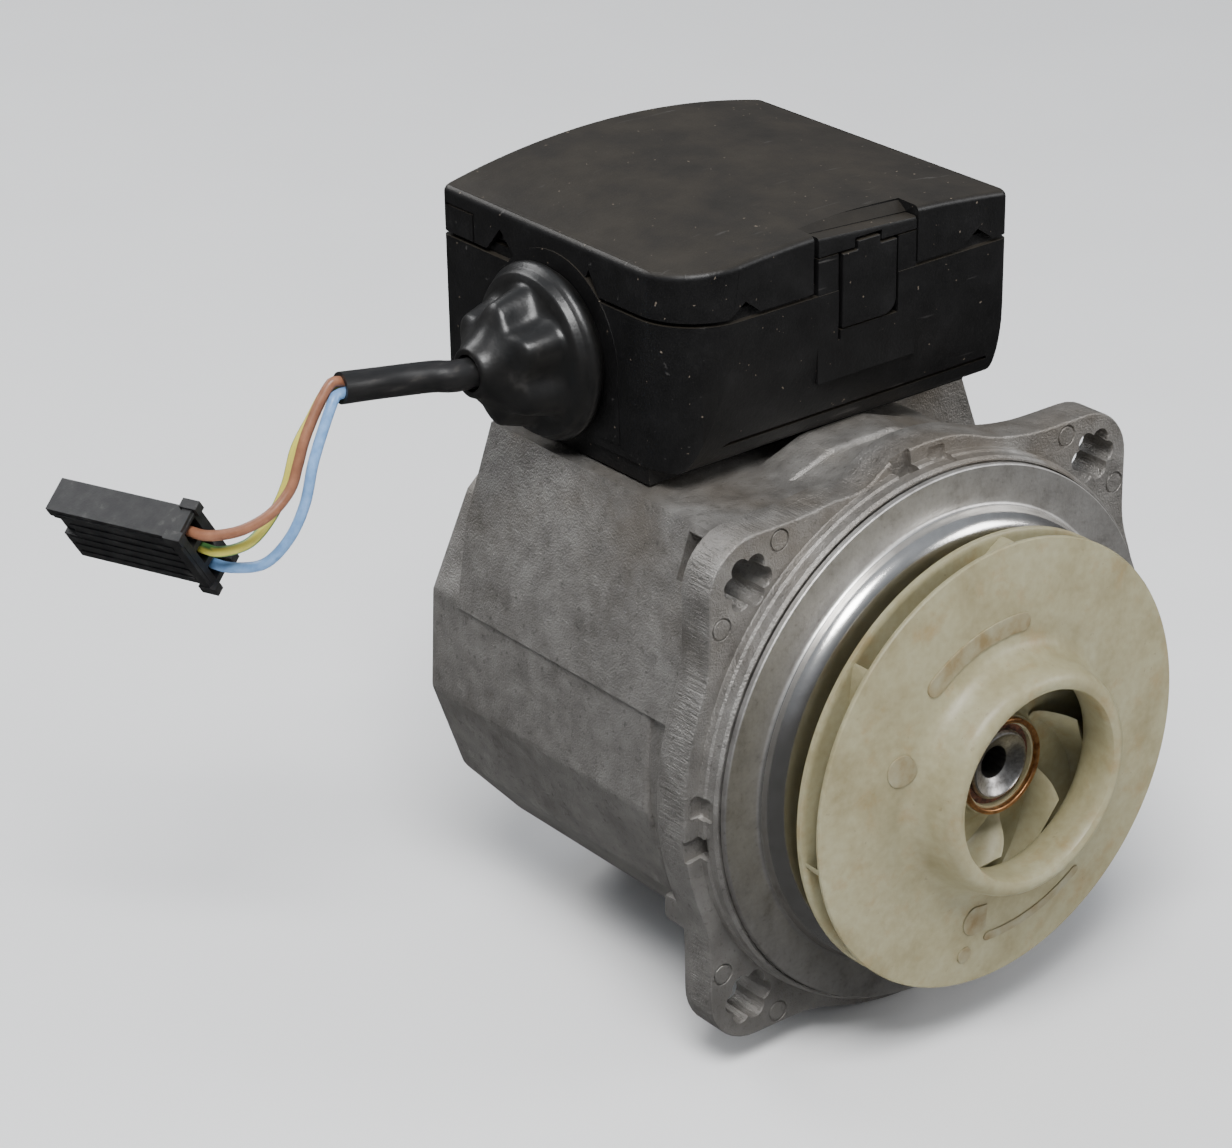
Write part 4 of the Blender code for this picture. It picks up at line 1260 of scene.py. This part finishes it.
rubber, tree, shader = finish("glossy_black_rubber", (0.013, 0.0125, 0.012), 0.32)
bloom = grain(tree, 0.0050, 4, rough=0.6)
colour_from(tree, shader, ramp(tree, bloom, [
    (0.35, (0.006, 0.006, 0.006)), (0.60, (0.010, 0.0095, 0.009)), (0.80, (0.030, 0.028, 0.026)),
]))
roughness_from(tree, shader, bloom, 0.28, 0.44)
skin = raise_surface(tree, shader, bloom, 0.00015)
raise_surface(tree, shader, grain(tree, 0.0006, 2), 0.00001, skin)
boot = as_object("fluted_boot", boot_mesh, "root", rubber, 42)
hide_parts("cable_boot")
as_object("boot_gate_mark", gate_mark, "root", rubber, 42)


# Pieces inside the terminal box. Cream thermoplastic for the terminal strip, capacitor and cord
# grip, zinc-plated steel for the fixing screws and brass for whatever carries current.

def keep_solid(name, material, bevel=0.0, angle=40):
    """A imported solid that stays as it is, with its finish and its edges softened."""
    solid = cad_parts[name]
    solid.data.materials.clear()
    solid.data.materials.append(material)
    if bevel:
        soften = solid.modifiers.new("soften", "BEVEL")
        soften.width = bevel
        soften.segments = 2
        soften.limit_method = "ANGLE"
        soften.angle_limit = math.radians(angle)
    return solid


cream, tree, shader = finish("cream_moulding", (0.62, 0.57, 0.44), 0.42)
ageing = grain(tree, 0.0070, 5)
colour_from(tree, shader, ramp(tree, ageing, [
    (0.30, (0.50, 0.44, 0.31)), (0.55, (0.62, 0.57, 0.44)), (0.80, (0.68, 0.64, 0.52)),
]))
roughness_from(tree, shader, ageing, 0.34, 0.52)
raise_surface(tree, shader, grain(tree, 0.0006, 2), 0.00002)

zinc, tree, shader = finish("zinc_plated_steel", (0.50, 0.50, 0.48), 0.34, 1.0)
passivation = grain(tree, 0.0020, 4)
colour_from(tree, shader, ramp(tree, passivation, [
    (0.30, (0.34, 0.33, 0.30)), (0.60, (0.52, 0.52, 0.50)), (0.80, (0.60, 0.58, 0.48)),
]))
roughness_from(tree, shader, passivation, 0.26, 0.48)

for name in ("terminal_block", "run_capacitor", "cord_grip"):
    keep_solid(name, cream, 0.00035)
for name in ("terminal_screw_1", "terminal_screw_2", "terminal_screw_3", "earth_screw", "earth_tag"):
    keep_solid(name, tinned, 0.00012)
for name in ("box_screw_left", "box_screw_right"):
    keep_solid(name, zinc, 0.00015)


# Pieces inside the motor. Laminated stator steel between two enamelled copper windings, a thin
# stainless can over the rotor, carbon bushes and a rubber seal: seen only through the gaps.

laminated, tree, shader = finish("laminated_steel", (0.16, 0.16, 0.17), 0.42, 1.0)
sheet_edges = node(tree, "ShaderNodeTexWave", {
    "Vector": object_place(tree), "Scale": 320.0, "Distortion": 0.4,
}, "Fac", bands_direction="Y")
colour_from(tree, shader, ramp(tree, sheet_edges, [
    (0.2, (0.10, 0.10, 0.11)), (0.8, (0.24, 0.24, 0.25)),
]))
raise_surface(tree, shader, sheet_edges, 0.00008)

enamelled, tree, shader = finish("enamelled_copper", (0.40, 0.14, 0.045), 0.30, 1.0)
turns = node(tree, "ShaderNodeTexWave", {
    "Vector": object_place(tree), "Scale": 260.0, "Distortion": 2.5, "Detail": 2.0,
}, "Fac", wave_type="RINGS", rings_direction="Y")
colour_from(tree, shader, ramp(tree, turns, [(0.2, (0.17, 0.055, 0.02)), (0.8, (0.52, 0.20, 0.07))]))
raise_surface(tree, shader, turns, 0.00025)

can_metal, tree, shader = finish("drawn_stainless", (0.50, 0.49, 0.47), 0.30, 1.0)
drawing = grain(tree, 0.0008, 3, stretch=(1, 8, 1))
colour_from(tree, shader, ramp(tree, drawing, [(0.3, (0.40, 0.39, 0.37)), (0.7, (0.56, 0.55, 0.53))]))
roughness_from(tree, shader, drawing, 0.22, 0.42)

carbon, tree, shader = finish("bearing_carbon", (0.030, 0.030, 0.032), 0.36, 0.3)
colour_from(tree, shader, ramp(tree, grain(tree, 0.0012, 4), [
    (0.3, (0.018, 0.018, 0.019)), (0.7, (0.050, 0.050, 0.053)),
]))
seal_rubber, tree, shader = finish("seal_rubber", (0.014, 0.014, 0.014), 0.55)
colour_from(tree, shader, ramp(tree, grain(tree, 0.0016, 3), [
    (0.3, (0.009, 0.009, 0.009)), (0.7, (0.024, 0.024, 0.023)),
]))
raise_surface(tree, shader, grain(tree, 0.0007, 2), 0.00003)

keep_solid("stator_stack", laminated)
keep_solid("rotor_core", can_metal, 0.0003)
keep_solid("rotor_can", can_metal)
for name in ("winding_front", "winding_rear"):
    keep_solid(name, enamelled, 0.0006, 20)
for name in ("front_bearing", "rear_bearing", "thrust_ring"):
    keep_solid(name, carbon, 0.0002, 60)
for name in ("can_seal", "vent_plug_seal"):
    keep_solid(name, seal_rubber, 0.0002, 60)


# Vent plug. A turned brass screw with a broad slotted head closes the rear of the motor, so that
# air can be let out and a stuck shaft turned by hand.

plug_metal, tree, shader = finish("nickelled_brass", (0.60, 0.54, 0.40), 0.30, 1.0)
tool_marks = node(tree, "ShaderNodeTexWave", {
    "Vector": object_place(tree), "Scale": 300.0, "Distortion": 0.6, "Detail": 1.0,
}, "Fac", wave_type="RINGS", rings_direction="Y")
stain = grain(tree, 0.0040, 5)
colour_from(tree, shader, ramp(tree, stain, [
    (0.30, (0.42, 0.34, 0.20)), (0.55, (0.60, 0.54, 0.40)), (0.80, (0.68, 0.63, 0.50)),
]))
roughness_from(tree, shader, stain, 0.22, 0.44)
raise_surface(tree, shader, tool_marks, 0.00001)
keep_solid("vent_plug", plug_metal, 0.00035)


# Studio. A plain pale floor under the part, a soft light high on the left, a weaker one on the
# right and an even pale surround.

floor_level = cad_low.z - 0.0004
floor_mesh = bpy.data.meshes.new("studio_floor")
floor_half = 4.0
floor_mesh.from_pydata(
    [(x * floor_half, y * floor_half, floor_level) for x, y in ((-1, -1), (1, -1), (1, 1), (-1, 1))],
    [], [(0, 1, 2, 3)],
)
paper, tree, shader = finish("pale_paper", (0.90, 0.90, 0.90), 0.85)
colour_from(tree, shader, ramp(tree, grain(tree, 0.05, 3), [(0.3, 0.90), (0.7, 0.92)]))
floor_mesh.materials.append(paper)
floor = bpy.data.objects.new("studio_floor", floor_mesh)
bpy.context.scene.collection.objects.link(floor)
floor.visible_glossy = False

surround = bpy.data.worlds.new("pale_surround")
bpy.context.scene.world = surround
surround.use_nodes = True
tree = surround.node_tree
background = tree.nodes["Background"]
background.inputs["Strength"].default_value = 0.50
height = node(tree, "ShaderNodeSeparateXYZ", {
    "Vector": node(tree, "ShaderNodeTexCoord", output="Generated")
}, "Z")
tree.links.new(ramp(tree, height, [
    (0.0, (0.16, 0.16, 0.16)), (0.15, (0.24, 0.24, 0.25)), (0.80, (0.80, 0.86, 0.95)),
]), background.inputs["Color"])

for name, place, size, power in (
    ("key_softbox", (-0.45, -0.45, 1.05), (0.55, 0.45), 20),
    ("right_softbox", (0.95, -0.85, 0.55), (0.50, 0.50), 8),
    ("rear_softbox", (-0.30, 1.00, 0.80), (0.80, 0.40), 7),
):
    light = bpy.data.lights.new(name, "AREA")
    light.shape = "RECTANGLE"
    light.size, light.size_y = size
    light.energy = power
    holder = bpy.data.objects.new(name, light)
    holder.location = place
    aim = Vector((-0.01, 0.03, 0.02)) - holder.location
    holder.rotation_mode = "QUATERNION"
    holder.rotation_quaternion = aim.to_track_quat("-Z", "Y")
    bpy.context.scene.collection.objects.link(holder)
